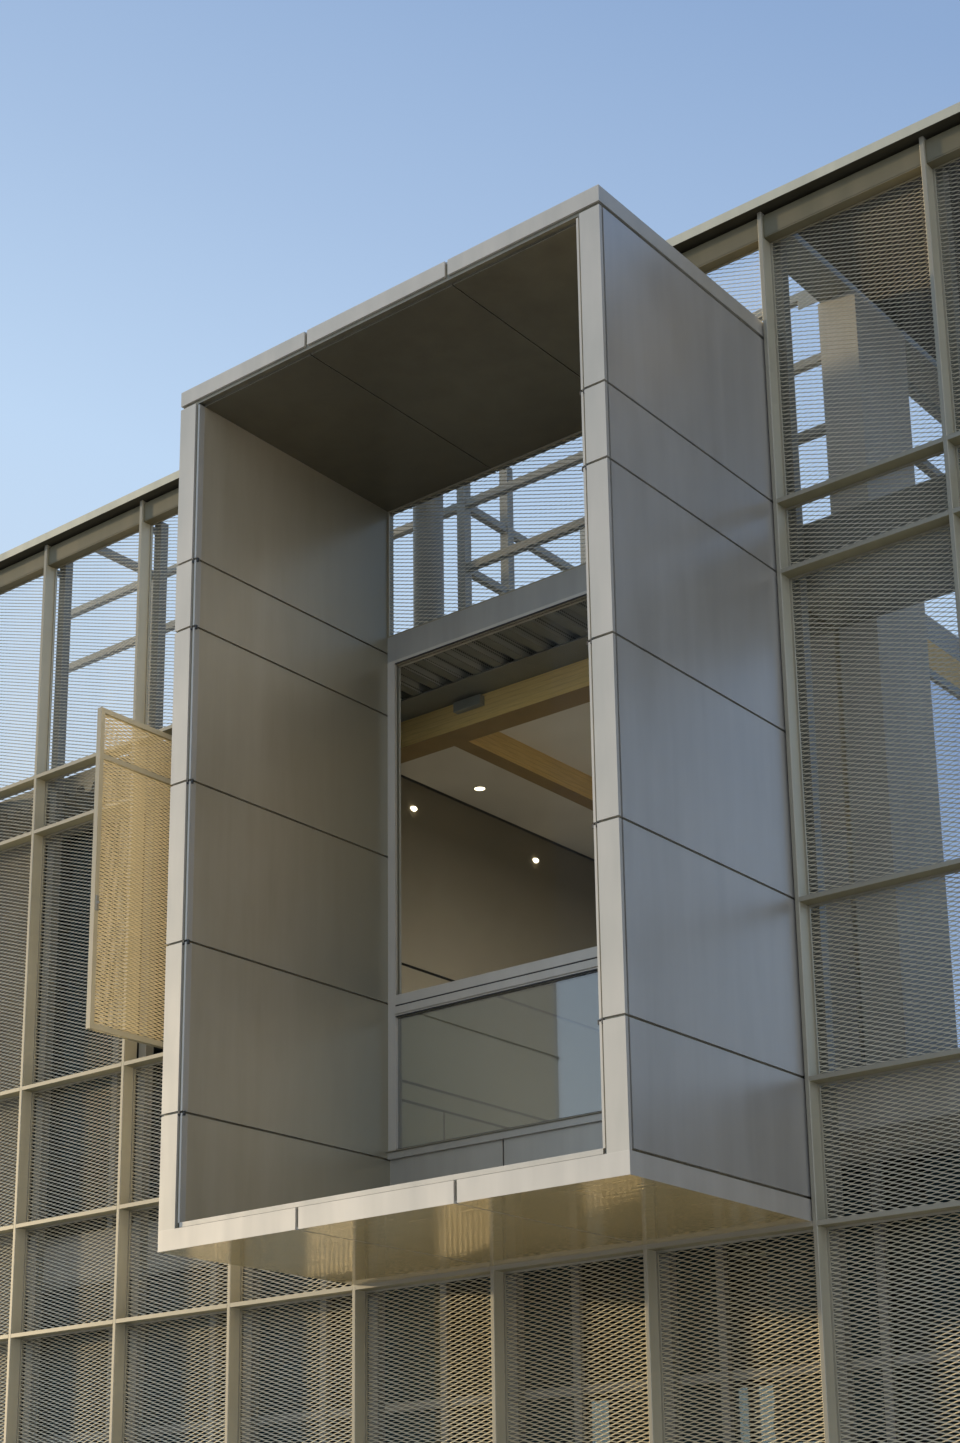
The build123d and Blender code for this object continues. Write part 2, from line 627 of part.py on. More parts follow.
# Deep edge beam across the open side, against the blade columns
with BuildPart() as terrace_edge_beam:
    bar(LOUNGE_RIGHT_X, HALF_WIDTH, COLUMN_Y - TERRACE_BEAM_DEPTH, COLUMN_Y, HEAD_LEVEL, ROOF_LEVEL)
keep(terrace_edge_beam, "terrace_edge_beam")

# Canopy over the terrace: beams on the blade columns with purlins between them, and soffit panels below
CANOPY_SPANS = (
    (BLADE_LINES[0] + CANOPY_BEAM_WIDTH / 2, BLADE_LINES[1] - CANOPY_BEAM_WIDTH / 2, CANOPY_SLOT),
    (BLADE_LINES[1] + CANOPY_BEAM_WIDTH / 2, HALF_WIDTH, 0),
)
PANEL_TOP = CANOPY_UNDERSIDE + CANOPY_PANEL
with BuildPart() as canopy_frame:
    for column_x in BLADE_LINES:
        side = CANOPY_BEAM_WIDTH / 2
        bar(column_x - side, column_x + side, POST_Y, CANOPY_REAR_Y, CANOPY_UNDERSIDE, FIN_TOP)
    for left, right, right_slot in CANOPY_SPANS:
        for y in (POST_Y, (POST_Y + CANOPY_REAR_Y - PURLIN) / 2, CANOPY_REAR_Y - PURLIN):
            bar(left, right, y, y + PURLIN, PANEL_TOP, PANEL_TOP + PURLIN)
keep(canopy_frame, "canopy_frame")
with BuildPart() as canopy_soffit:
    for left, right, right_slot in CANOPY_SPANS:
        bar(left + CANOPY_SLOT, right - right_slot, POST_Y, CANOPY_REAR_Y, CANOPY_UNDERSIDE, PANEL_TOP)
keep(canopy_soffit, "canopy_soffit")

# Screen: upright fins with chamfered front edges
with BuildPart() as screen_fins:
    for numbers, bottom, top in (
        (CLEAR_LINES, SLAB_TOP, FIN_TOP),
        (PORTAL_LINES, SLAB_TOP, PORTAL_BOTTOM),
        (PORTAL_LINES, PORTAL_TOP, FIN_TOP),
    ):
        with BuildSketch(Plane.XY.offset(bottom)):
            with Locations(*[(line_x(number), FIN_DEPTH / 2) for number in numbers]):
                fins = Rectangle(FIN_WIDTH, FIN_DEPTH)
            chamfer(fins.vertices().group_by(Axis.Y)[0], FIN_CHAMFER)
        extrude(amount=top - bottom)
keep(screen_fins, "screen_fins")

# Transoms between the fins
with BuildPart() as screen_transoms:
    places = [
        (line_x(bay) + BAY / 2, FIN_DEPTH / 2, level - TRANSOM_HEIGHT / 2)
        for bay in range(BAYS)
        for level in transom_levels(bay)
    ]
    with Locations(*places):
        Box(BAY - FIN_WIDTH, FIN_DEPTH, TRANSOM_HEIGHT)
keep(screen_transoms, "screen_transoms")

# Sheets of expanded metal, by side of the portal, and one inside it above the window
with BuildPart() as left_mesh:
    mesh_sheets(range(FIRST_PORTAL_BAY))
keep(left_mesh, "left_mesh")
with BuildPart() as right_mesh:
    mesh_sheets(range(LAST_PORTAL_BAY, BAYS))
keep(right_mesh, "right_mesh")
with BuildPart() as middle_mesh:
    mesh_sheets(range(FIRST_PORTAL_BAY, LAST_PORTAL_BAY))
    portal_mesh_y = WINDOW_Y + CHANNEL_WEB
    bar(-PORTAL_INNER, PORTAL_INNER, portal_mesh_y, portal_mesh_y + MESH_THICKNESS, ROOF_TOP, PORTAL_SOFFIT)
keep(middle_mesh, "middle_mesh")

# Coping along the top of the screen
with BuildPart() as screen_coping:
    coping_half = HALF_WIDTH + COPING_OVERHANG
    bar(-coping_half, coping_half, -COPING_OVERHANG, POST_Y, FIN_TOP, FIN_TOP + COPING_HEIGHT)
keep(screen_coping, "screen_coping")

# Folded fascia below the coping, set back behind a shadow gap
with BuildPart() as screen_fascia:
    for bay in range(BAYS):
        left, right = bay_sides(bay)
        with BuildSketch(Plane.YZ.offset(left)):
            with BuildLine():
                Polyline(
                    (FASCIA_SETBACK, FASCIA_BOTTOM),
                    (FASCIA_SETBACK + FASCIA_SHEET, FASCIA_BOTTOM),
                    (FASCIA_SETBACK + FASCIA_SHEET, FASCIA_TOP - FASCIA_SHEET),
                    (FASCIA_SETBACK + FASCIA_RETURN, FASCIA_TOP - FASCIA_SHEET),
                    (FASCIA_SETBACK + FASCIA_RETURN, FIN_TOP),
                    (FASCIA_SETBACK + FASCIA_RETURN - FASCIA_SHEET, FIN_TOP),
                    (FASCIA_SETBACK + FASCIA_RETURN - FASCIA_SHEET, FASCIA_TOP),
                    (FASCIA_SETBACK, FASCIA_TOP),
                    close=True,
                )
            make_face()
        extrude(amount=right - left)
keep(screen_fascia, "screen_fascia")

# Posts behind the fins, with the brackets that hold the fins off them; they stop below the portal
with BuildPart() as screen_posts:
    for numbers, top in ((CLEAR_LINES, CANOPY_UNDERSIDE), (PORTAL_LINES, PORTAL_BOTTOM)):
        post_y, post_z = (POST_Y + POST_REAR_Y) / 2, (SLAB_TOP + top) / 2
        with Locations(*[(inside_ends(number, POST_SIZE / 2), post_y, post_z) for number in numbers]):
            Box(POST_SIZE, POST_SIZE, top - SLAB_TOP)
        bracket_y = (FIN_DEPTH + POST_Y) / 2
        places = [
            (inside_ends(number, BRACKET_WIDTH / 2), bracket_y, level - BRACKET_HEIGHT / 2)
            for number in numbers
            for level in BRACKET_LEVELS
            if level <= top
        ]
        with Locations(*places):
            Box(BRACKET_WIDTH, POST_Y - FIN_DEPTH, BRACKET_HEIGHT)
keep(screen_posts, "screen_posts")

# Roof frame: rails in three levels from post to post and on to the blade column. The two upper ones run on
# to the left end, where a rail ties them to the screen, and the lower ones turn into the depth
with BuildPart() as roof_posts:
    half = RAIL_POST / 2
    places = [(LEFT_POST_X, RAIL_Y), (FLUE_POST_X, FLUE_POST_Y)]
    places += [(LEFT_PORTAL_X, row) for row in RAIL_POST_ROWS]
    for x, y in places:
        bar(x - half, x + half, y - half, y + half, ROOF_TOP, RAIL_POST_TOP)
    bar(LEFT_POST_X - half, LEFT_POST_X + half, POST_Y, POST_REAR_Y, CANOPY_UNDERSIDE, RAIL_POST_TOP)
keep(roof_posts, "roof_posts")
with BuildPart() as roof_rails:
    half = RAIL_SIZE / 2
    post_half = RAIL_POST / 2
    for level in RAIL_LEVELS:
        low, high = level - half, level + half
        bar(LEFT_PORTAL_X + post_half, LOUNGE_RIGHT_X, RAIL_Y - half, RAIL_Y + half, low, high)
    for level in RAIL_LEVELS[1:]:
        low, high = level - half, level + half
        bar(-HALF_WIDTH, LEFT_POST_X - post_half, RAIL_Y - half, RAIL_Y + half, low, high)
        bar(LEFT_POST_X + post_half, LEFT_PORTAL_X - post_half, RAIL_Y - half, RAIL_Y + half, low, high)
    for level in RAIL_LEVELS[:-1]:
        low, high = level - half, level + half
        for start, end in zip(RAIL_POST_ROWS, RAIL_POST_ROWS[1:]):
            bar(LEFT_PORTAL_X - half, LEFT_PORTAL_X + half, start + post_half, end - post_half, low, high)
        bar(RIGHT_PORTAL_X - half, RIGHT_PORTAL_X + half, BLADE_REAR_Y, CANOPY_REAR_Y, low, high)
    top_low, top_high = RAIL_LEVELS[-1] - half, RAIL_LEVELS[-1] + half
    bar(LEFT_POST_X - half, LEFT_POST_X + half, POST_REAR_Y, RAIL_Y - post_half, top_low, top_high)
keep(roof_rails, "roof_rails")
with BuildPart() as roof_flue:
    with BuildSketch(Plane.XY.offset(ROOF_TOP)):
        with Locations((LEFT_PORTAL_X, FLUE_Y)):
            Circle(FLUE_DIAMETER / 2)
    extrude(amount=FLUE_HEIGHT)
    chamfer(roof_flue.edges().group_by(Axis.Z)[-1], FLUE_SHOULDER)
keep(roof_flue, "roof_flue")

# Portal: a square tube of steel, with its cladding as separate pieces
with BuildPart() as portal_core:
    with BuildSketch(Plane.XZ.offset(-PORTAL_REAR_Y)):
        with Locations((0, (PORTAL_BOTTOM + PORTAL_TOP) / 2)):
            Rectangle(2 * CORE_HALF, PORTAL_TOP - PORTAL_BOTTOM - 2 * PANEL)
        hollow_bottom, hollow_top = PORTAL_FLOOR - LEDGE_HEIGHT, PORTAL_SOFFIT + PANEL
        with Locations((0, (hollow_bottom + hollow_top) / 2)):
            Rectangle(2 * (PORTAL_INNER + PANEL), hollow_top - hollow_bottom, mode=Mode.SUBTRACT)
    extrude(amount=PORTAL_REAR_Y - CORE_FRONT_Y)
keep(portal_core, "portal_core")
with BuildPart() as portal_cap:
    tray(PORTAL_TOP - CAP_HEIGHT, PORTAL_TOP, PORTAL_TOP - CAP_HEIGHT, PORTAL_TOP - PANEL)
keep(portal_cap, "portal_cap")
with BuildPart() as portal_base:
    tray(PORTAL_BOTTOM, CLADDING_BOTTOM, PORTAL_BOTTOM + PANEL, CLADDING_BOTTOM)
    for joint_x in (-BAY / 2, BAY / 2):
        left, right = joint_x - SOFFIT_JOINT / 2, joint_x + SOFFIT_JOINT / 2
        groove_top = PORTAL_BOTTOM + SOFFIT_GROOVE
        bar(left, right, -PORTAL_DEPTH, -FIN_DEPTH, PORTAL_BOTTOM, groove_top, Mode.SUBTRACT)
keep(portal_base, "portal_base")

# Side panels outside, with a joint behind the jambs
with BuildPart() as portal_side_panels:
    for side in (-1, 1):
        inner, outer = sorted((side * CORE_HALF, side * PORTAL_HALF))
        for low, high in joined_levels(CLADDING_BOTTOM + PANEL_JOINT, CLADDING_TOP, PANEL_JOINT):
            bar(inner, outer, -PORTAL_DEPTH + JAMB_RETURN + PANEL_JOINT, PORTAL_REAR_Y, low, high)
keep(portal_side_panels, "portal_side_panels")

# Panels inside the portal's two walls
with BuildPart() as portal_inner_panels:
    for side in (-1, 1):
        inner, outer = sorted((side * PORTAL_INNER, side * (PORTAL_INNER + PANEL)))
        for low, high in joined_levels(PORTAL_FLOOR, PORTAL_SOFFIT, PANEL_JOINT):
            bar(inner, outer, INNER_FRONT_Y, PORTAL_REAR_Y, low, high)
keep(portal_inner_panels, "portal_inner_panels")

# Jambs: angle-shaped front pieces, and the narrow strips inside them
with BuildPart() as portal_jambs:
    for side in (-1, 1):
        for low, high in joined_levels(CLADDING_BOTTOM, CLADDING_TOP, PANEL_JOINT):
            with BuildSketch(Plane.XY.offset(low)):
                with BuildLine():
                    Polyline(
                        (side * PORTAL_HALF, -PORTAL_DEPTH),
                        (side * PORTAL_HALF, -PORTAL_DEPTH + JAMB_RETURN),
                        (side * CORE_HALF, -PORTAL_DEPTH + JAMB_RETURN),
                        (side * CORE_HALF, CORE_FRONT_Y),
                        (side * (PORTAL_HALF - JAMB_FACE), CORE_FRONT_Y),
                        (side * (PORTAL_HALF - JAMB_FACE), -PORTAL_DEPTH),
                        close=True,
                    )
                make_face()
            extrude(amount=high - low)
        inner, outer = sorted((side * PORTAL_INNER, side * (PORTAL_INNER + PANEL)))
        for low, high in joined_levels(PORTAL_FLOOR, PORTAL_SOFFIT, PANEL_JOINT):
            bar(inner, outer, -PORTAL_DEPTH + INNER_STRIP_SETBACK, INNER_FRONT_Y, low, high)
keep(portal_jambs, "portal_jambs")

# Soffit panels and the floor sheet, whose front edge is the ledge
with BuildPart() as portal_soffit:
    for left, right in PANEL_EDGES:
        bar(left, right, INNER_FRONT_Y, PORTAL_REAR_Y, PORTAL_SOFFIT, PORTAL_SOFFIT + PANEL)
keep(portal_soffit, "portal_soffit")
with BuildPart() as portal_floor:
    ledge_y = -PORTAL_DEPTH + LEDGE_SETBACK
    bar(-PORTAL_INNER, PORTAL_INNER, ledge_y, PORTAL_REAR_Y, PORTAL_FLOOR - LEDGE_HEIGHT, PORTAL_FLOOR)
keep(portal_floor, "portal_floor")

# Window: frame with a transom at guard height, two panes, and spandrel panels below
with BuildPart() as window_frame:
    with BuildSketch(Plane.XZ.offset(-PORTAL_REAR_Y)):
        with Locations((0, (FIRST_FLOOR + DECK_BOTTOM) / 2)):
            Rectangle(2 * PORTAL_INNER, DECK_BOTTOM - FIRST_FLOOR)
        for low, high in WINDOW_PANES:
            with Locations((0, (low + high) / 2)):
                Rectangle(2 * (PORTAL_INNER - WINDOW_STILE), high - low, mode=Mode.SUBTRACT)
    extrude(amount=WINDOW_DEPTH)
keep(window_frame, "window_frame")
with BuildPart() as window_glass:
    pane_y = WINDOW_Y + (WINDOW_DEPTH - GLASS) / 2
    pane_x = PORTAL_INNER - WINDOW_STILE
    for low, high in WINDOW_PANES:
        bar(-pane_x, pane_x, pane_y, pane_y + GLASS, low, high)
keep(window_glass, "window_glass")
with BuildPart() as window_spandrel:
    for left, right in PANEL_EDGES:
        bar(left, right, WINDOW_Y + SPANDREL_SETBACK, PORTAL_REAR_Y, PORTAL_FLOOR, FIRST_FLOOR)
keep(window_spandrel, "window_spandrel")

# Open shutter: a framed leaf of mesh on two pivot pins
LEAF_X = line_x(SHUTTER_BAY) + SHUTTER_PIVOT
PIVOT_Y = FIN_DEPTH / 2
LEAF_FRONT_Y = PIVOT_Y - (BAY - SHUTTER_PIVOT - FIN_WIDTH / 2 - SHUTTER_EDGE_GAP)
LEAF_REAR_Y = PIVOT_Y + SHUTTER_PIVOT - FIN_WIDTH / 2 - SHUTTER_EDGE_GAP
LEAF_BOTTOM = GUARD_LEVEL + SHUTTER_GAP
LEAF_TOP = ROOF_LEVEL - TRANSOM_HEIGHT - SHUTTER_GAP
LEAF_CELLS = (
    (LEAF_BOTTOM + SHUTTER_BAR, HEAD_LEVEL),
    (HEAD_LEVEL + SHUTTER_BAR, LEAF_TOP - SHUTTER_BAR),
)
with BuildPart() as shutter_frame:
    with BuildSketch(Plane.YZ.offset(LEAF_X - SHUTTER_FRAME / 2)):
        with Locations(((LEAF_FRONT_Y + LEAF_REAR_Y) / 2, (LEAF_BOTTOM + LEAF_TOP) / 2)):
            Rectangle(LEAF_REAR_Y - LEAF_FRONT_Y, LEAF_TOP - LEAF_BOTTOM)
        for low, high in LEAF_CELLS:
            with Locations(((LEAF_FRONT_Y + LEAF_REAR_Y) / 2, (low + high) / 2)):
                Rectangle(LEAF_REAR_Y - LEAF_FRONT_Y - 2 * SHUTTER_BAR, high - low, mode=Mode.SUBTRACT)
    extrude(amount=SHUTTER_FRAME)
    for bottom in (GUARD_LEVEL, LEAF_TOP):
        with BuildSketch(Plane.XY.offset(bottom)):
            with Locations((LEAF_X, PIVOT_Y)):
                Circle(PIVOT_DIAMETER / 2)
        extrude(amount=SHUTTER_GAP)
keep(shutter_frame, "shutter_frame")
with BuildPart() as shutter_mesh:
    mesh_x0, mesh_x1 = LEAF_X - MESH_THICKNESS / 2, LEAF_X + MESH_THICKNESS / 2
    for low, high in LEAF_CELLS:
        bar(mesh_x0, mesh_x1, LEAF_FRONT_Y + SHUTTER_BAR, LEAF_REAR_Y - SHUTTER_BAR, low, high)
keep(shutter_mesh, "shutter_mesh")
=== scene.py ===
"""Looks of the office building: materials, expanded metal, fittings, blinds, light and camera round the frame."""

import json
import math

import bpy
import numpy as np
from mathutils import Matrix, Vector


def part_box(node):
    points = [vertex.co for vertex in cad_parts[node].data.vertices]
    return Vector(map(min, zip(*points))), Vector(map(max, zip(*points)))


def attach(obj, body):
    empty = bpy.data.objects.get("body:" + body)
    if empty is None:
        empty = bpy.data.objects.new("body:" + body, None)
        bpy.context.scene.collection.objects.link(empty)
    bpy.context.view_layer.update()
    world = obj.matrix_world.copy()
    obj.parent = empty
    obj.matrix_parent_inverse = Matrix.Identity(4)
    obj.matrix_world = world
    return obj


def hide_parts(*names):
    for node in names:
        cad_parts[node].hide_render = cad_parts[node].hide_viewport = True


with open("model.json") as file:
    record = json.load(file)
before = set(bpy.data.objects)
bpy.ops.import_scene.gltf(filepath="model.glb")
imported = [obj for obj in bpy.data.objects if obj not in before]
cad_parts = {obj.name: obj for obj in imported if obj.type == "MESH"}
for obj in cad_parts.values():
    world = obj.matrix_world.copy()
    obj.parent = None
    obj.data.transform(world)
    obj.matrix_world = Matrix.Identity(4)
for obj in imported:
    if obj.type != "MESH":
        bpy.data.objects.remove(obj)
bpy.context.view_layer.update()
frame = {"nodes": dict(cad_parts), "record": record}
nodes = frame["nodes"]


# Between these values lies most of a noise pattern
MIDDLE = (0.3, 0.7)


# Node helpers for materials
class Paint:
    """A node material in the making, with short calls for the nodes that the materials here share."""

    SOCKETS = {
        "color": "Base Color",
        "rough": "Roughness",
        "metallic": "Metallic",
        "normal": "Normal",
        "coat": "Coat Weight",
        "coat_ior": "Coat IOR",
        "transmission": "Transmission Weight",
        "ior": "IOR",
        "emission": "Emission Color",
        "glow": "Emission Strength",
    }
    EDGE_RADIUS = 0.006
    EDGE_TURN = 0.3

    def __init__(self, name):
        self.material = bpy.data.materials.new(name)
        self.material.use_nodes = True
        self.tree = self.material.node_tree
        self.shader = self.tree.nodes["Principled BSDF"]
        self.output = self.tree.nodes["Material Output"]

    def node(self, kind, **settings):
        """A new node, with the values of its sockets or its own settings given by name."""
        made = self.tree.nodes.new(kind)
        for key, value in settings.items():
            if key in made.inputs:
                made.inputs[key].default_value = value
            else:
                setattr(made, key, value)
        return made

    def link(self, source, target):
        self.tree.links.new(source, target)

    def give(self, socket, value):
        """Gives a socket a number, a colour or another node's output."""
        if isinstance(value, (int, float)):
            socket.default_value = value
        elif isinstance(value, tuple):
            socket.default_value = (*value, 1.0)
        else:
            self.link(value, socket)

    def place(self, scale=(1, 1, 1)):
        """Object coordinates, in metres in the shared frame, stretched by a scale."""
        coordinates = self.node("ShaderNodeTexCoord")
        mapping = self.node("ShaderNodeMapping", Scale=scale)
        self.link(coordinates.outputs["Object"], mapping.inputs["Vector"])
        return mapping.outputs["Vector"]

    def along(self, axis):
        """Place along an axis of the shared frame, in metres; along Z it is the height over the ground."""
        parts = self.node("ShaderNodeSeparateXYZ")
        self.link(self.place(), parts.inputs["Vector"])
        return parts.outputs[axis]

    def noise(self, size, detail=4.0, rough=0.55, stretch=(1, 1, 1)):
        """Smooth noise with features of about a given size in metres."""
        made = self.node("ShaderNodeTexNoise", Scale=1.0 / size, Detail=detail, Roughness=rough)
        self.link(self.place(stretch), made.inputs["Vector"])
        return made.outputs["Fac"]

    def ramp(self, value, stops):
        """A colour ramp over a value, from (position, colour) stops."""
        made = self.node("ShaderNodeValToRGB")
        band = made.color_ramp
        while len(band.elements) < len(stops):
            band.elements.new(0.5)
        for element, (position, colour) in zip(band.elements, stops):
            element.position = position
            element.color = (*colour, 1.0)
        self.link(value, made.inputs["Fac"])
        return made.outputs["Color"]

    def two_tone(self, value, dark, light):
        """A colour that goes from dark to light over a pattern's middle values."""
        return self.ramp(value, list(zip(MIDDLE, (dark, light))))

    def math(self, operation, a, b=0.0):
        """One step of arithmetic on numbers or other nodes' outputs."""
        made = self.node("ShaderNodeMath", operation=operation)
        self.give(made.inputs[0], a)
        self.give(made.inputs[1], b)
        return made.outputs[0]

    def mix(self, factor, first, second):
        """A colour between two colours."""
        made = self.node("ShaderNodeMix", data_type="RGBA")
        self.give(made.inputs["Factor"], factor)
        self.give(made.inputs["A"], first)
        self.give(made.inputs["B"], second)
        return made.outputs["Result"]

    def between(self, factor, first, second):
        """A number between two numbers."""
        made = self.node("ShaderNodeMix", data_type="FLOAT")
        self.give(made.inputs["Factor"], factor)
        self.give(made.inputs["A"], first)
        self.give(made.inputs["B"], second)
        return made.outputs["Result"]

    def span(self, value, low, high, start=0.0, end=1.0):
        """Maps a value from one range to another."""
        made = self.node("ShaderNodeMapRange")
        for key, number in (("From Min", low), ("From Max", high), ("To Min", start), ("To Max", end)):
            made.inputs[key].default_value = number
        self.link(value, made.inputs["Value"])
        return made.outputs["Result"]

    def bump(self, height, strength, distance, normal=None):
        """A bumped normal, on top of another one if it is given."""
        made = self.node("ShaderNodeBump", Strength=strength, Distance=distance)
        self.link(height, made.inputs["Height"])
        if normal is not None:
            self.link(normal, made.inputs["Normal"])
        return made.outputs["Normal"]

    def facing(self, axis):
        """How far a surface faces a direction, from 0 to 1."""
        geometry = self.node("ShaderNodeNewGeometry")
        dot = self.node("ShaderNodeVectorMath", operation="DOT_PRODUCT")
        self.link(geometry.outputs["Normal"], dot.inputs[0])
        dot.inputs[1].default_value = axis
        return self.span(dot.outputs["Value"], 0.0, 1.0)

    def edges(self):
        """Near 1 where the surface turns over an edge, near 0 on flat faces."""
        geometry = self.node("ShaderNodeNewGeometry")
        bevel = self.node("ShaderNodeBevel", samples=4, Radius=self.EDGE_RADIUS)
        dot = self.node("ShaderNodeVectorMath", operation="DOT_PRODUCT")
        self.link(geometry.outputs["Normal"], dot.inputs[0])
        self.link(bevel.outputs["Normal"], dot.inputs[1])
        return self.span(dot.outputs["Value"], 1.0, 1.0 - self.EDGE_TURN)

    def set(self, **inputs):
        """Gives the shader's inputs by their short names, and hands back the material."""
        for key, value in inputs.items():
            self.give(self.shader.inputs[self.SOCKETS[key]], value)
        return self.material


# Sizes of the patterns in coated metal, in metres, and how much of an edge is worn
CLOUD = 0.9
STREAK = 0.16
GRAIN = 0.004
RIPPLE = 0.10
WORN = 0.6


def coated_metal(
    name,
    dark,
    light,
    rough=0.42,
    metallic=0.65,
    edge=(0.62, 0.60, 0.54),
    wave=0.004,
    under=None,
    front=None,
    recess_shade=None,
    ripple=0,
):
    """Metallic coating: soft clouds and faint upright streaks in colour and gloss, slightly uneven sheet, and
    brighter worn edges. Faces that look down may take a darker colour of painted shade and a roughness of their
    own, by under as (dark, light, roughness), and street fronts may take a darker colour of painted shade, by front.
    Given as (start, end, colour), the colour may darken towards the back as painted shade in a recess, and ripple is
    the height of fine ripples across the sheet."""
    paint = Paint(name)
    clouds = paint.noise(CLOUD, detail=3.0)
    streaks = paint.noise(STREAK, detail=3.0, rough=0.6, stretch=(1, 1, 0.12))
    grain = paint.noise(GRAIN, detail=2.0)
    tone = paint.mix(0.5, clouds, streaks)
    colour = paint.two_tone(tone, dark, light)
    roughness = paint.span(tone, *MIDDLE, rough - 0.05, rough + 0.06)
    # Faces that look down take a darker colour: painted shade
    if under:
        below = paint.facing((0, 0, -1))
        colour = paint.mix(below, colour, paint.two_tone(tone, under[0], under[1]))
        roughness = paint.between(below, roughness, under[2])
    # Darker towards the back: painted shade deeper in a recess
    if recess_shade:
        back = paint.span(paint.along("Y"), recess_shade[0], recess_shade[1])
        colour = paint.mix(back, colour, recess_shade[2])
    colour = paint.mix(paint.math("MULTIPLY", paint.edges(), WORN), colour, edge)
    # Faces that look to the street take a darker colour: painted shade
    if front:
        colour = paint.mix(paint.facing((0, -1, 0)), colour, front)
    sheet = paint.bump(clouds, 0.12, wave)
    if ripple:
        sheet = paint.bump(paint.noise(RIPPLE, detail=1.0, stretch=(0.35, 2.2, 1)), 0.5, ripple, sheet)
    return paint.set(color=colour, metallic=metallic, rough=roughness, normal=paint.bump(grain, 0.06, 0.0005, sheet))


def masonry(name, dark, light, pores=0.25):
    """Concrete or render: clouds, fine pores and faint runs of dirt."""
    paint = Paint(name)
    clouds = paint.noise(1.1, detail=5.0)
    runs = paint.noise(0.25, detail=3.0, rough=0.6, stretch=(1, 1, 0.1))
    fine = paint.noise(0.012, detail=4.0, rough=0.7)
    tone = paint.mix(0.35, clouds, runs)
    colour = paint.two_tone(tone, dark, light)
    pit = tuple(channel * 0.55 for channel in dark)
    colour = paint.mix(paint.span(fine, 0.35, 0.55, pores, 0.0), colour, pit)
    return paint.set(color=colour, rough=0.85, normal=paint.bump(fine, 0.3, 0.0015))


LAMELLA = 0.04
GLUE_LINE = 0.05


def timber(name):
    """Laminated timber: a joint between each two lamellas, long grain along the beam, warm variation, and undersides
    darkened with painted shade.
    """
    paint = Paint(name)
    grain = paint.noise(0.05, detail=6.0, rough=0.6, stretch=(0.25, 0.25, 6))
    long = paint.noise(0.5, detail=3.0, rough=0.5, stretch=(0.3, 0.3, 4))
    layers = paint.math("DIVIDE", paint.along("Z"), LAMELLA)
    joint = paint.math("LESS_THAN", paint.math("FRACT", layers), GLUE_LINE)
    layer = paint.node("ShaderNodeTexWhiteNoise", noise_dimensions="1D")
    paint.link(paint.math("FLOOR", layers), layer.inputs["W"])
    tones = [(0.25, (0.54, 0.34, 0.09)), (0.55, (0.76, 0.51, 0.17)), (0.8, (0.82, 0.60, 0.24))]
    colour = paint.ramp(grain, tones)
    colour = paint.mix(paint.span(long, *MIDDLE, 0.0, 0.5), colour, (0.62, 0.41, 0.13))
    colour = paint.mix(paint.span(layer.outputs["Value"], 0.0, 1.0, 0.0, 0.25), colour, (0.58, 0.45, 0.24))
    colour = paint.mix(paint.math("MULTIPLY", joint, 0.5), colour, (0.16, 0.10, 0.04))
    # Faces that look down are darker: painted shade under the beams
    colour = paint.mix(paint.facing((0, 0, -1)), colour, paint.mix(0.6, colour, (0.10, 0.06, 0.02)))
    return paint.set(color=colour, rough=0.55, normal=paint.bump(grain, 0.2, 0.001))


def glazing(name, ior=1.4, tint=0.0, mirror_below=None, mirror=0.0):
    """Double glazing with thin dust, through which daylight passes straight. It may have a grey-green tint, a
    darker body with a mirror coat below some height, and a share of its light that it mirrors."""
    paint = Paint(name)
    dust = paint.noise(0.35, detail=4.0, rough=0.6)
    colour = paint.ramp(dust, [(0.3, (0.92, 0.95, 0.94)), (0.8, (0.86, 0.90, 0.89))])
    if tint:
        colour = paint.mix(tint, colour, (0.10, 0.13, 0.12))
    if mirror_below:
        coated = paint.math("LESS_THAN", paint.along("Z"), mirror_below)
        colour = paint.mix(coated, colour, (0.28, 0.34, 0.34))
        paint.set(coat=coated, coat_ior=2.6)
    paint.set(color=colour, rough=paint.span(dust, 0.5, 0.9, 0.0, 0.03), ior=ior, transmission=1.0)
    body = paint.shader.outputs["BSDF"]
    if mirror:
        shine = paint.node("ShaderNodeBsdfAnisotropic", Color=(0.95, 0.97, 1.0, 1.0), Roughness=0.01)
        coat = paint.node("ShaderNodeMixShader", Fac=mirror)
        paint.link(body, coat.inputs[1])
        paint.link(shine.outputs["BSDF"], coat.inputs[2])
        body = coat.outputs["Shader"]
    clear = paint.node("ShaderNodeBsdfTransparent", Color=(0.90, 0.93, 0.92, 1.0))
    mixed = paint.node("ShaderNodeMixShader")
    paint.link(paint.node("ShaderNodeLightPath").outputs["Is Shadow Ray"], mixed.inputs["Fac"])
    paint.link(body, mixed.inputs[1])
    paint.link(clear.outputs["BSDF"], mixed.inputs[2])
    paint.link(mixed.outputs["Shader"], paint.output.inputs["Surface"])
    return paint.material


def boards(name, dark, light, rough=0.8):
    """Painted boards or cloth: soft clouds and a fine texture."""
    paint = Paint(name)
    clouds = paint.noise(0.8, detail=3.0)
    fine = paint.noise(0.003, detail=2.0)
    colour = paint.two_tone(clouds, dark, light)
    return paint.set(color=colour, rough=rough, normal=paint.bump(fine, 0.1, 0.0004))


HOLE_PITCH = 0.022
HOLE_RADIUS = 0.36
WEB_NORMAL = (0.95, 0, -0.32)
WEB_FACING = 0.85


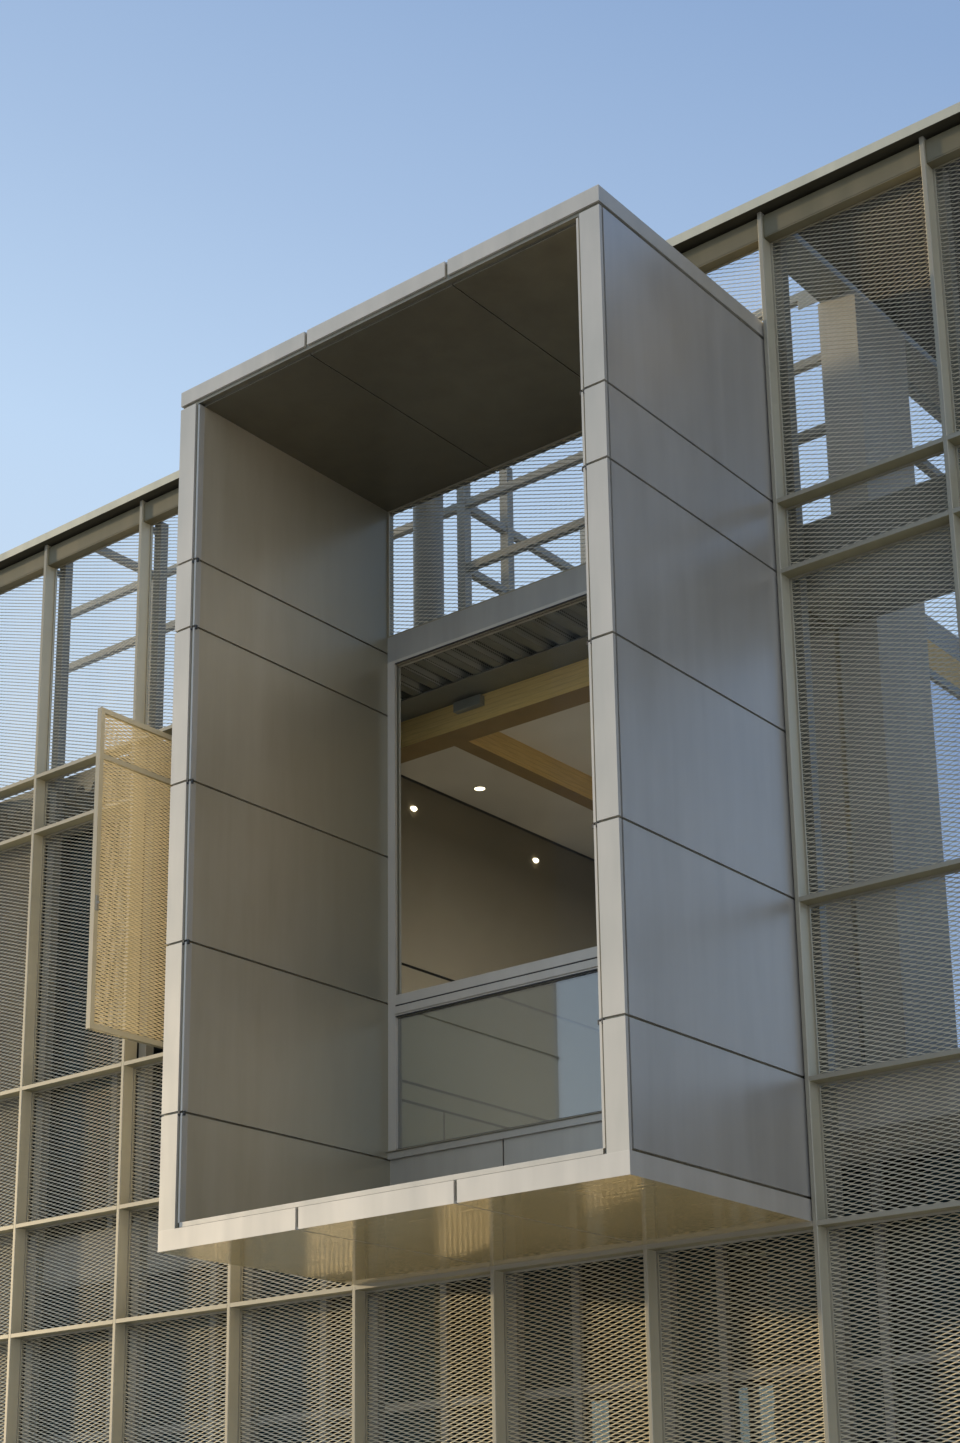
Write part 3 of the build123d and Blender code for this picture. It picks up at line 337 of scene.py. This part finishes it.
def perforated_deck(name):
    """Coated trapezoidal sheet with rows of sound holes in its sloping webs, of a radius in shares of their pitch."""
    paint = Paint(name)
    clouds = paint.noise(0.5, detail=3.0)
    colour = paint.two_tone(clouds, (0.13, 0.13, 0.11), (0.19, 0.19, 0.16))
    web = paint.math("GREATER_THAN", paint.facing(WEB_NORMAL), WEB_FACING)
    holes = paint.node("ShaderNodeTexVoronoi", Scale=1.0 / HOLE_PITCH, Randomness=0.0)
    paint.link(paint.place(), holes.inputs["Vector"])
    hole = paint.math("LESS_THAN", holes.outputs["Distance"], HOLE_RADIUS)
    bright = paint.mix(hole, (0.42, 0.41, 0.36), (0.08, 0.08, 0.07))
    return paint.set(color=paint.mix(web, colour, bright), metallic=0.3, rough=0.5)


def light_graded_boards(name, low, high):
    """Painted boards whose tone goes from one (height, colour) to another, with soft clouds over it; the change with
    height is painted light and shade.
    """
    paint = Paint(name)
    clouds = paint.noise(0.8, detail=3.0)
    colour = paint.mix(paint.span(paint.along("Z"), low[0], high[0]), low[1], high[1])
    colour = paint.mix(paint.span(clouds, *MIDDLE, 0.0, 0.15), colour, high[1])
    return paint.set(color=colour, rough=0.8)


def lamp_glass(name, colour, strength):
    """A frosted lens that glows a little unevenly."""
    paint = Paint(name)
    body = paint.two_tone(paint.noise(0.02, detail=2.0), colour, (1.0, 1.0, 1.0))
    return paint.set(color=body, emission=colour, glow=strength, rough=0.4)


# One material for each slot, and a variant for each node that has its own tone in the photograph
GUARD_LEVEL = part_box("right_end_wall")[1].z
MATERIALS = {
    "concrete": masonry("concrete", (0.30, 0.29, 0.26), (0.44, 0.43, 0.39)),
    "render": masonry("render", (0.40, 0.39, 0.35), (0.50, 0.49, 0.44), pores=0.1),
    "portal_metal": coated_metal(
        "portal_metal",
        (0.42, 0.40, 0.34),
        (0.52, 0.49, 0.43),
        rough=0.40,
        metallic=0.4,
    ),
    "inner_metal": coated_metal("inner_metal", (0.20, 0.18, 0.13), (0.27, 0.25, 0.19), rough=0.32, metallic=0.75),
    # Fins and transoms: darker undersides and darker street fronts, painted shade
    "fin_metal": coated_metal(
        "fin_metal",
        (0.46, 0.43, 0.32),
        (0.56, 0.53, 0.41),
        rough=0.45,
        metallic=0.4,
        edge=(0.54, 0.51, 0.40),
        under=((0.22, 0.20, 0.12), (0.30, 0.27, 0.17), 0.45),
        front=(0.27, 0.25, 0.19),
    ),
    # Expanded metal: faces that look down are near black, painted shade under the strands
    "mesh_metal": coated_metal(
        "mesh_metal",
        (0.60, 0.53, 0.37),
        (0.73, 0.66, 0.48),
        rough=0.38,
        metallic=0.4,
        edge=(0.66, 0.59, 0.43),
        under=((0.04, 0.035, 0.025), (0.06, 0.055, 0.04), 0.6),
    ),
    "frame_metal": coated_metal("frame_metal", (0.20, 0.20, 0.18), (0.28, 0.28, 0.25), rough=0.40, metallic=0.5),
    "steel": coated_metal("steel", (0.22, 0.22, 0.19), (0.30, 0.30, 0.26), rough=0.5, metallic=0.3),
    "glulam": timber("glulam"),
    "ceiling": boards("ceiling", (0.60, 0.56, 0.48), (0.68, 0.64, 0.56)),
    "deck": coated_metal("deck", (0.16, 0.16, 0.14), (0.23, 0.23, 0.20), rough=0.45, metallic=0.5),
    "glass": glazing("glass"),
}
VARIANTS = {
    # Inner panels: darker towards the back, painted shade deeper in the portal
    "portal_inner_panels": coated_metal(
        "inner_panels",
        (0.45, 0.39, 0.27),
        (0.56, 0.50, 0.37),
        rough=0.32,
        metallic=0.5,
        wave=0.008,
        recess_shade=(-1.2, 0.13, (0.27, 0.26, 0.20)),
    ),
    "portal_soffit": coated_metal(
        "soffit_panels",
        (0.12, 0.11, 0.08),
        (0.16, 0.15, 0.11),
        rough=0.34,
        metallic=0.6,
    ),
    # Side panels: a lighter, cooler copy of the portal metal, painted light on the sides the sun misses
    "portal_side_panels": coated_metal(
        "side_panels",
        (0.49, 0.47, 0.43),
        (0.59, 0.57, 0.53),
        rough=0.36,
        wave=0.008,
    ),
    # Base tray: its underside darker and warmer, painted shade, and glossier with fine ripples
    "portal_base": coated_metal(
        "base_tray",
        (0.46, 0.43, 0.37),
        (0.56, 0.53, 0.47),
        rough=0.40,
        metallic=0.4,
        wave=0.012,
        under=((0.38, 0.30, 0.13), (0.54, 0.43, 0.21), 0.07),
        ripple=0.003,
    ),
    "window_spandrel": coated_metal(
        "spandrel_panels",
        (0.33, 0.32, 0.285),
        (0.42, 0.41, 0.37),
        rough=0.36,
        metallic=0.5,
    ),
    "window_frame": coated_metal(
        "window_metal",
        (0.42, 0.40, 0.35),
        (0.50, 0.48, 0.43),
        rough=0.36,
        metallic=0.3,
    ),
    "window_glass": glazing("window_panes", ior=1.12, mirror_below=GUARD_LEVEL),
    "terrace_glass": glazing("terrace_panes", mirror=0.7),
    "front_glass": glazing("front_panes", ior=1.12, tint=0.9),
    "shutter_mesh": coated_metal(
        "shutter_metal",
        (0.56, 0.49, 0.32),
        (0.70, 0.62, 0.43),
        rough=0.45,
        metallic=0.2,
    ),
    # Partition: painted light low down and painted shade near the ceiling
    "partition": light_graded_boards("partition_painted_light", (6.2, (0.92, 0.82, 0.66)), (8.1, (0.20, 0.17, 0.115))),
    # Coping: its underside near black, painted shade over the fascia
    "screen_coping": coated_metal(
        "coping_metal",
        (0.46, 0.43, 0.32),
        (0.58, 0.55, 0.42),
        rough=0.45,
        metallic=0.5,
        edge=(0.54, 0.51, 0.40),
        under=((0.04, 0.035, 0.02), (0.06, 0.055, 0.035), 0.6),
    ),
    "canopy_soffit": coated_metal(
        "canopy_boards",
        (0.05, 0.048, 0.04),
        (0.08, 0.075, 0.06),
        rough=0.45,
        metallic=0.3,
    ),
    # Left end wall: a darker copy of the render, painted shade that holds back the low sun on this wall
    "left_end_wall": masonry("end_render_painted_shade", (0.30, 0.29, 0.26), (0.38, 0.37, 0.33), pores=0.1),
    "roof_deck": perforated_deck("deck_sheet"),
    # Fascia: a dark colour, painted shade under the coping's overhang
    "screen_fascia": coated_metal(
        "fascia_painted_shade",
        (0.11, 0.10, 0.055),
        (0.16, 0.135, 0.08),
        rough=0.45,
        metallic=0.4,
        edge=(0.18, 0.16, 0.10),
    ),
    "roof_edge_channel": coated_metal(
        "channel_metal",
        (0.28, 0.28, 0.26),
        (0.36, 0.36, 0.33),
        rough=0.45,
        metallic=0.4,
    ),
}
for part in frame["record"]["subparts"]:
    mesh = nodes[part["node"]].data
    mesh.materials.clear()
    mesh.materials.append(VARIANTS.get(part["node"]) or MATERIALS[part["material_slot"]])

RUBBER = boards("rubber", (0.012, 0.012, 0.012), (0.03, 0.03, 0.028), rough=0.55)
CLOTH = boards("blind_cloth", (0.40, 0.60, 0.78), (0.56, 0.78, 0.94))
LAMP_GLASS = lamp_glass("lamp_glass", (1.0, 0.86, 0.62), strength=4.0)


# Mesh helpers for new pieces
def piece(name, points, faces, slot_name, stands_for=(), material=None, smooth=False):
    """A new mesh object in the shared frame that rides on the building and takes a material slot."""
    mesh = bpy.data.meshes.new(name)
    mesh.from_pydata([tuple(point) for point in points], [], [tuple(face) for face in faces])
    mesh.materials.append(material or MATERIALS[slot_name])
    mesh.polygons.foreach_set("use_smooth", [smooth] * len(mesh.polygons))
    made = bpy.data.objects.new(name, mesh)
    bpy.context.scene.collection.objects.link(made)
    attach(made, "root")
    if stands_for:
        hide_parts(*stands_for)
    return made


def boxes(name, corners, slot_name, bevel=0.0, material=None):
    """One piece made of bars, each between two corners, with square edges or ones rounded by a bevel."""
    points, faces = [], []
    for (x0, y0, z0), (x1, y1, z1) in corners:
        k = len(points)
        points += [(x, y, z) for z in (z0, z1) for y in (y0, y1) for x in (x0, x1)]
        faces += [
            (k, k + 2, k + 3, k + 1),
            (k + 4, k + 5, k + 7, k + 6),
            (k, k + 1, k + 5, k + 4),
            (k + 2, k + 6, k + 7, k + 3),
            (k, k + 4, k + 6, k + 2),
            (k + 1, k + 3, k + 7, k + 5),
        ]
    made = piece(name, points, faces, slot_name, material=material)
    if bevel:
        made.modifiers.new("edges", "BEVEL").width = bevel
    return made


def islands(node):
    """Lowest and highest corner of each solid of a CAD node."""
    mesh = nodes[node].data
    count = len(mesh.vertices)
    group = list(range(count))

    def root(k):
        while group[k] != k:
            group[k] = group[group[k]]
            k = group[k]
        return k

    co = np.array([v.co for v in mesh.vertices])
    keys = {}
    for k, point in enumerate(np.round(co, 5)):
        first = keys.setdefault(tuple(point), k)
        group[root(k)] = root(first)
    for edge in mesh.edges:
        group[root(edge.vertices[0])] = root(edge.vertices[1])
    sets = {}
    for k in range(count):
        sets.setdefault(root(k), []).append(k)
    return [(co[ks].min(0), co[ks].max(0)) for ks in sets.values()]


def rounded(corners):
    """Lowest corner of a solid to the millimetre, to sort solids by."""
    return tuple(np.round(corners[0], 3))


# Expanded metal: strands that lean back at the top and meet in bonds, which leaves staggered diamonds open
DIAMOND_WIDTH = 0.090
DIAMOND_HEIGHT = 0.030
STRAND = 0.0082
LEAN = 0.0056
BOND = 0.015
SHEETS_PER_PIECE = 9


def expanded_sheet(width, height):
    """Points and faces of a sheet of expanded metal, with its lower left corner at the origin. Each row of
    strands rises and falls between level bonds, where it meets the rows above and below."""
    columns = max(2, round(width / DIAMOND_WIDTH))
    rows = max(2, round(height / (DIAMOND_HEIGHT / 2)))
    knots = np.linspace(0, width, 2 * columns + 1)
    x = np.clip(np.stack([knots - BOND / 2, knots + BOND / 2], 1).ravel(), 0, width)
    level = np.repeat(np.arange(len(knots)), 2)
    step = height / rows
    points, faces = [], []
    for row in range(rows):
        rises = (level + row) % 2
        middle = row * step + STRAND / 2 + rises * (step - STRAND)
        base = len(points) * len(x)
        front = np.where(rises, -LEAN, 0.0)
        points.append(np.stack([x, front, middle - STRAND / 2], 1))
        points.append(np.stack([x, front + LEAN, middle + STRAND / 2], 1))
        low = base + np.arange(len(x) - 1)
        faces.append(np.stack([low, low + 1, low + 1 + len(x), low + len(x)], 1))
    return np.concatenate(points), np.concatenate(faces)


def expand_node(node):
    """Expanded metal in place of each sheet of a CAD node, in pieces of a few sheets each."""
    sheets = sorted(islands(node), key=rounded)
    for first in range(0, len(sheets), SHEETS_PER_PIECE):
        points, faces, count = [], [], 0
        for low, high in sheets[first:first + SHEETS_PER_PIECE]:
            size, middle = high - low, (low + high) / 2
            along, across = (1, 0) if size[0] < size[1] else (0, 1)
            flat, sheet_faces = expanded_sheet(size[along], size[2])
            sheet = np.empty_like(flat)
            sheet[:, along] = low[along] + flat[:, 0]
            sheet[:, across] = middle[across] + flat[:, 1]
            sheet[:, 2] = low[2] + flat[:, 2]
            points.append(sheet)
            faces.append(sheet_faces + count)
            count += len(sheet)
        name = f"expanded_{node}_{first // SHEETS_PER_PIECE + 1}"
        points, faces = np.concatenate(points), np.concatenate(faces)
        piece(name, points, faces, "mesh_metal", (node,), VARIANTS.get(node))


SCREEN_SHEETS = ("left_mesh", "right_mesh", "middle_mesh")
for node in SCREEN_SHEETS + ("shutter_mesh",):
    expand_node(node)

# Folded edging round each sheet of mesh, in front of its strands
EDGING = 0.014
EDGING_DEPTH = 0.010
bars = []
for node in SCREEN_SHEETS:
    for low, high in islands(node):
        y0, y1 = low[1] - EDGING_DEPTH, low[1]
        for x0, x1, z0, z1 in (
            (low[0], high[0], low[2], low[2] + EDGING),
            (low[0], high[0], high[2] - EDGING, high[2]),
            (low[0], low[0] + EDGING, low[2] + EDGING, high[2] - EDGING),
            (high[0] - EDGING, high[0], low[2] + EDGING, high[2] - EDGING),
        ):
            bars.append(((x0, y0, z0), (x1, y1, z1)))
boxes("mesh_edging", bars, "fin_metal")

# Fascia: its folded return, which closes the gap to the mesh behind it, in the fascia's dark colour of painted shade
RETURN = 0.010
RETURN_SETBACK = 0.002
RETURN_LAP = 0.004
SEAM = 0.001
mesh_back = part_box("left_mesh")[1].y
returns = [
    ((low[0], low[1] + RETURN_SETBACK, low[2] - RETURN), (high[0], mesh_back + RETURN_LAP, low[2] - SEAM))
    for low, high in islands("screen_fascia")
]
boxes("fascia_returns", returns, "fin_metal", material=VARIANTS["screen_fascia"])

# Window: beads and rubber seals on its frame
FINE_BEVEL = 0.002
SEAL = 0.009
SEAL_PROUD = 0.001
SEAL_DEPTH = 0.012
RAIL_SEAL = 0.012
RAIL_SEAL_DEPTH = 0.004
RAIL_SEAL_RISE = 0.075
LOWER_BEAD_RISE = 0.020
LOWER_BEAD_DEPTH = 0.012
UPPER_BEAD_DEPTH = 0.005
frame_low, frame_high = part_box("window_frame")
panes = sorted(islands("window_glass"), key=lambda corners: corners[0][2])
(lower_low, lower_high), (upper_low, _) = panes
face_y = frame_low.y
seal_z = lower_high[2] + RAIL_SEAL_RISE
beads = [
    ((lower_low[0], face_y - LOWER_BEAD_DEPTH, lower_high[2] + LOWER_BEAD_RISE), (lower_high[0], face_y, seal_z)),
    ((lower_low[0], face_y - UPPER_BEAD_DEPTH, seal_z + RAIL_SEAL), (lower_high[0], face_y, upper_low[2])),
]
boxes("window_beads", beads, "frame_metal", FINE_BEVEL, VARIANTS["window_frame"])
rail_seal_end = (lower_high[0], face_y + RAIL_SEAL_DEPTH, seal_z + RAIL_SEAL)
seals = [((lower_low[0], face_y - SEAL_PROUD, seal_z), rail_seal_end)]
for low, high in panes:
    y0, y1 = face_y - SEAL_PROUD, face_y + SEAL_DEPTH
    seals += [
        ((low[0], y0, low[2] - SEAL), (high[0], y1, low[2])),
        ((low[0], y0, high[2]), (high[0], y1, high[2] + SEAL)),
    ]
boxes("window_seals", seals, "frame_metal", material=RUBBER)

# Window: a thin bright sill with a cover strip under it that matches the panels below
SILL = 0.008
SILL_OVERHANG = 0.022
SILL_LAP = 0.002
COVER = 0.006
sill_z = lower_low[2] - SEAL
sill = ((frame_low.x, face_y - SILL_OVERHANG, sill_z - SILL), (frame_high.x, face_y + SILL_LAP, sill_z))
boxes("window_sill", [sill], "frame_metal", FINE_BEVEL, MATERIALS["fin_metal"])
cover = ((frame_low.x, face_y - COVER, frame_low.z), (frame_high.x, face_y, sill_z - SILL))
boxes("sill_cover", [cover], "inner_metal", material=VARIANTS["window_spandrel"])

# Roof deck: flat closing sheet between its ribs and the edge beam
CLOSURE = 0.012
CLOSURE_DEPTH = 0.30
beam_low, beam_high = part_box("glulam_edge_beam")
closure_start = (beam_low.x, beam_low.y - CLOSURE_DEPTH, beam_high.z - CLOSURE)
boxes("deck_closure", [(closure_start, (beam_high.x, beam_low.y, beam_high.z - SEAM))], "deck")

# Portal: small clips at the joints between the jamb pieces
CLIP = 0.014
CLIP_SETBACK = (0.004, 0.018)
CLIP_BEVEL = 0.001
clips = []
for low, high in islands("portal_jambs"):
    if high[2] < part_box("portal_jambs")[1].z - CLIP:
        inner = high[0] if high[0] < 0 else low[0]
        x0, x1 = sorted((inner, inner - math.copysign(CLIP, inner)))
        y0, y1 = (low[1] + setback for setback in CLIP_SETBACK)
        clips.append(((x0, y0, high[2] - CLIP), (x1, y1, high[2] + CLIP)))
boxes("joint_clips", clips, "frame_metal", CLIP_BEVEL, RUBBER)

# Glazing bars at door-head height in the ground floor's front glazing
BAR_LEVEL = 3.14
BAR_SIZE = 0.06
bars = []
for low, high in islands("front_glass"):
    if low[2] < BAR_LEVEL < high[2]:
        middle_y = (low[1] + high[1]) / 2
        corner = (low[0], middle_y - BAR_SIZE / 2, BAR_LEVEL - BAR_SIZE / 2)
        bars.append((corner, (high[0], middle_y + BAR_SIZE / 2, BAR_LEVEL + BAR_SIZE / 2)))
boxes("glazing_bars", bars, "frame_metal", FINE_BEVEL)

# Steel fittings: the hanger on the edge beam, the plate under the top rail, and the shutter's latch
HANGER_X = (-1.64, -1.375)
HANGER_DEPTH = 0.055
HANGER_DROP = (0.11, 0.03)
RAIL_SIZE = 0.06
RAIL_Y = 1.30
PLATE = 0.01
PLATE_X = (1.36, 1.59)
PLATE_DROP = (0.145, 0.025)
LATCH = 0.012
LATCH_REACH = 0.030
LATCH_PLATE_Y = (0.008, 0.036)
LATCH_PLATE_Z = (6.82, 6.94)
LATCH_KNOB_Y = (0.014, 0.030)
LATCH_KNOB_Z = (6.87, 6.89)
rail_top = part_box("roof_rails")[1].z
leaf_low, leaf_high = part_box("shutter_frame")
rail_y = RAIL_Y - RAIL_SIZE / 2


def bar(x, y, z):
    """A bar's two corners from its reach along each axis."""
    return tuple(zip(x, y, z))


fittings = [
    bar(HANGER_X, (beam_low.y - HANGER_DEPTH, beam_low.y), [beam_high.z - drop for drop in HANGER_DROP]),
    bar(PLATE_X, (rail_y - PLATE, rail_y), [rail_top - drop for drop in PLATE_DROP]),
    bar((leaf_high.x, leaf_high.x + LATCH), [leaf_low.y + y for y in LATCH_PLATE_Y], LATCH_PLATE_Z),
    bar((leaf_high.x + LATCH, leaf_high.x + LATCH_REACH), [leaf_low.y + y for y in LATCH_KNOB_Y], LATCH_KNOB_Z),
]
boxes("steel_fittings", fittings, "steel", FINE_BEVEL)


def turned(rings, sides, at):
    """Points and side faces of rings joined to one another, where at() gives a point from its ring and turn."""
    turns = np.linspace(0, 2 * math.pi, sides, endpoint=False)
    points = [at(ring, turn) for ring in rings for turn in turns]
    faces = []
    for low in range(0, (len(rings) - 1) * sides, sides):
        for i in range(sides):
            j = (i + 1) % sides
            faces.append((low + i, low + j, low + sides + j, low + sides + i))
    return points, faces


# Lounge: a downlight, and a black strip where the ceiling meets the wall, painted shade of a shadow gap
lounge_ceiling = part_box("room_ceiling")[0]
LAMP = (-2.60, 2.47)
LAMP_SIDES = 24
LAMP_RIM = ((0.062, 0.0), (0.062, 0.005), (0.055, 0.008), (0.047, 0.008), (0.044, 0.003))
LAMP_LENS = ((0.044, 0.002), (0.044, 0.006), (0.036, 0.008))


def downlight(name, rings, material=None):
    """A round fitting under the ceiling, from rings of (radius, drop) about an upright axis."""
    points, faces = turned(
        rings,
        LAMP_SIDES,
        lambda ring, turn: (
            LAMP[0] + ring[0] * math.cos(turn),
            LAMP[1] + ring[0] * math.sin(turn),
            lounge_ceiling.z - ring[1],
        ),
    )
    faces.append([len(points) - 1 - i for i in range(LAMP_SIDES)])
    piece(name, points, faces, "ceiling", material=material)


downlight("lamp_rims", LAMP_RIM)
downlight("lamp_lenses", LAMP_LENS, LAMP_GLASS)
GAP = 0.035
GAP_DEPTH = 0.002
gap_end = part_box("lounge_headers")[1].y
gap_start = (lounge_ceiling.x, lounge_ceiling.y, lounge_ceiling.z - GAP_DEPTH)
gap = (gap_start, (lounge_ceiling.x + GAP, gap_end, lounge_ceiling.z))
# A black strip of painted shade in the corner of ceiling and wall
boxes("ceiling_shadow_strip", [gap], "ceiling", material=RUBBER)

# Lounge wall: two small wall lamps and the joints between its panels
wall_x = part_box("partition")[1].x
WALL_LAMPS = (2.00, 3.68)
WALL_LAMP_Z = 8.21
WALL_LENS = 0.036
WALL_LENS_SQUASH = 0.6
WALL_LENS_RINGS = ((0.0, 1.0), (0.02, 0.8), (0.028, 0.4))
WALL_LENS_SIDES = 16


def wall_lens(y):
    """Points and faces of a flat oval lens on the wall, from rings of (reach, share of its size)."""
    points, faces = turned(
        WALL_LENS_RINGS,
        WALL_LENS_SIDES,
        lambda ring, turn: (
            wall_x + ring[0],
            y + WALL_LENS * ring[1] * math.cos(turn),
            WALL_LAMP_Z + WALL_LENS_SQUASH * WALL_LENS * ring[1] * math.sin(turn),
        ),
    )
    faces.append(range(len(points) - WALL_LENS_SIDES, len(points)))
    return points, faces


points, faces = [], []
for y in WALL_LAMPS:
    lens = wall_lens(y)
    faces += [[k + len(points) for k in face] for face in lens[1]]
    points += lens[0]
piece("wall_lamps", points, faces, "ceiling", material=LAMP_GLASS)
JOINT_DEPTH = 0.006
LEVEL_JOINTS = ((6.81, 6.83), (5.83, 5.85), (5.67, 5.69))
UPRIGHT_JOINT = (2.36, 2.37)
LOUNGE_FRONT = 0.45
LOW_PANEL_Z = (4.80, 5.67)
joints = [(LOUNGE_FRONT, gap_end, *levels) for levels in LEVEL_JOINTS] + [(*UPRIGHT_JOINT, *LOW_PANEL_Z)]
joints = [((wall_x, y0, z0), (wall_x + JOINT_DEPTH, y1, z1)) for y0, y1, z0, z1 in joints]
boxes("wall_joints", joints, "render", material=RUBBER)

# Folded cloth blinds behind the front glazing, each drawn down over a share of its pane
FOLD = 0.26
BULGE = 0.035
STEPS = 6
FOLD_MEAN = 0.7
FOLD_CHANGE = 0.3
CHANGE_BY_STEP = 1.7
CHANGE_BY_PLACE = 5
SIDE_GAPS = (0.22, 0.10)
CLOTH_SETBACK = 0.12
GLAZING_LINE = 0.5
DROPS = (0.55, 0.8, 0.35, 0.95, 0.62, 0.45, 0.85, 0.7, 0.5, 0.9, 0.4, 0.75, 0.3, 0.66)


def folded_blind(x0, x1, y, bottom, top):
    """Points and faces of a blind whose folds bulge towards the street, no two of them alike."""
    count = max(1, round((top - bottom) / FOLD)) * STEPS
    points = []
    for step in range(count + 1):
        change = math.sin(step * CHANGE_BY_STEP + x0 * CHANGE_BY_PLACE)
        swing = abs(math.sin(math.pi * step / STEPS)) * (FOLD_MEAN + FOLD_CHANGE * change)
        z = bottom + (top - bottom) * step / count
        points += [(x0, y - BULGE * swing, z), (x1, y - BULGE * swing, z)]
    faces = [(2 * k, 2 * k + 1, 2 * k + 3, 2 * k + 2) for k in range(count)]
    return points, faces


points, faces = [], []
for number, (low, high) in enumerate(sorted(islands("front_glass"), key=rounded)):
    if low[1] > GLAZING_LINE:
        drop = DROPS[number % len(DROPS)] * (high[2] - low[2])
        x0, x1 = low[0] + SIDE_GAPS[0], high[0] - SIDE_GAPS[1]
        shape = folded_blind(x0, x1, high[1] + CLOTH_SETBACK, high[2] - drop, high[2])
        faces += [[k + len(points) for k in face] for face in shape[1]]
        points += shape[0]
piece("window_blinds", points, faces, "ceiling", material=CLOTH, smooth=True)

# Floor, just under the building's base
FLOOR_SIZE = 400
FLOOR_Z = -0.001
bpy.ops.mesh.primitive_plane_add(size=FLOOR_SIZE, location=(0, 0, FLOOR_Z))
floor = bpy.context.object
floor.name = "floor"
floor_paint = Paint("floor")
floor.data.materials.append(floor_paint.set(color=(0.72, 0.72, 0.71), rough=0.9))

# Backdrop and light: a pale blue gradient, brighter low down and towards the sun
scene = bpy.context.scene
scene.view_settings.view_transform = "Standard"
scene.world = bpy.data.worlds.new("studio")
scene.world.use_nodes = True
tree = scene.world.node_tree
background = tree.nodes["Background"]
SKY_SLOPE = (0.34, 0.0, 1.0)
SKY_RANGE = (-0.2, 1.0)
aim = tree.nodes.new("ShaderNodeTexCoord")
slope = tree.nodes.new("ShaderNodeVectorMath")
slope.operation = "DOT_PRODUCT"
slope.inputs[1].default_value = SKY_SLOPE
stretch = tree.nodes.new("ShaderNodeMapRange")
stretch.inputs["From Min"].default_value, stretch.inputs["From Max"].default_value = SKY_RANGE
band = tree.nodes.new("ShaderNodeValToRGB")
SKY = (
    (0.0, (0.74, 0.80, 0.86)),
    (0.17, (0.68, 0.78, 0.88)),
    (0.40, (0.521, 0.687, 0.905)),
    (0.50, (0.386, 0.533, 0.768)),
    (0.60, (0.275, 0.41, 0.655)),
    (1.0, (0.10, 0.17, 0.34)),
)
while len(band.color_ramp.elements) < len(SKY):
    band.color_ramp.elements.new(0.5)
for element, (position, colour) in zip(band.color_ramp.elements, SKY):
    element.position = position
    element.color = (*colour, 1.0)
tree.links.new(aim.outputs["Generated"], slope.inputs[0])
tree.links.new(slope.outputs["Value"], stretch.inputs["Value"])
tree.links.new(stretch.outputs["Result"], band.inputs["Fac"])
tree.links.new(band.outputs["Color"], background.inputs["Color"])


def light(name, kind, energy, colour, toward, place=(0, 0, 0), **settings):
    """A light of some kind at a place, shining along a direction."""
    data = bpy.data.lights.new(name, kind)
    data.color = colour
    data.energy = energy
    for key, value in settings.items():
        setattr(data, key, value)
    made = bpy.data.objects.new(name, data)
    made.rotation_mode = "QUATERNION"
    made.rotation_quaternion = Vector(toward).to_track_quat("-Z", "Y")
    made.location = place
    scene.collection.objects.link(made)


light("key", "SUN", 6.6, colour=(1.0, 0.80, 0.52), toward=(0.965, 0.165, -0.15), angle=math.radians(2))
light("fill", "SUN", 0.75, colour=(1.0, 0.96, 0.90), toward=(-0.72, 0.66, -0.2), angle=math.radians(70))
light(
    "room_fill",
    "AREA",
    25,
    colour=(1.0, 0.84, 0.60),
    toward=(-0.3, 0.3, 1),
    place=(-0.6, 2.4, 4.9),
    size=2.5,
)

# Camera: the photograph's standpoint, with less lens shift and more pitch
camera_data = bpy.data.cameras.new("camera")
camera = bpy.data.objects.new("camera", camera_data)
scene.collection.objects.link(camera)
scene.camera = camera
STANDPOINT = (8.104, -11.024, 1.603)
camera_data.sensor_width = 36.0
camera_data.lens = 54.4
camera_data.shift_y = 0.20
camera_data.clip_end = 500
YAW, PITCH, ROLL = math.radians(-38.51), math.radians(15.87), math.radians(-0.77)
forward = Vector((math.sin(YAW) * math.cos(PITCH), math.cos(YAW) * math.cos(PITCH), math.sin(PITCH)))
level_right = Vector((math.cos(YAW), -math.sin(YAW), 0))
level_up = level_right.cross(forward)
right = level_right * math.cos(ROLL) + level_up * math.sin(ROLL)
up = level_up * math.cos(ROLL) - level_right * math.sin(ROLL)
turn = Matrix((right, up, -forward)).transposed().to_4x4()
camera.matrix_world = Matrix.Translation(STANDPOINT) @ turn
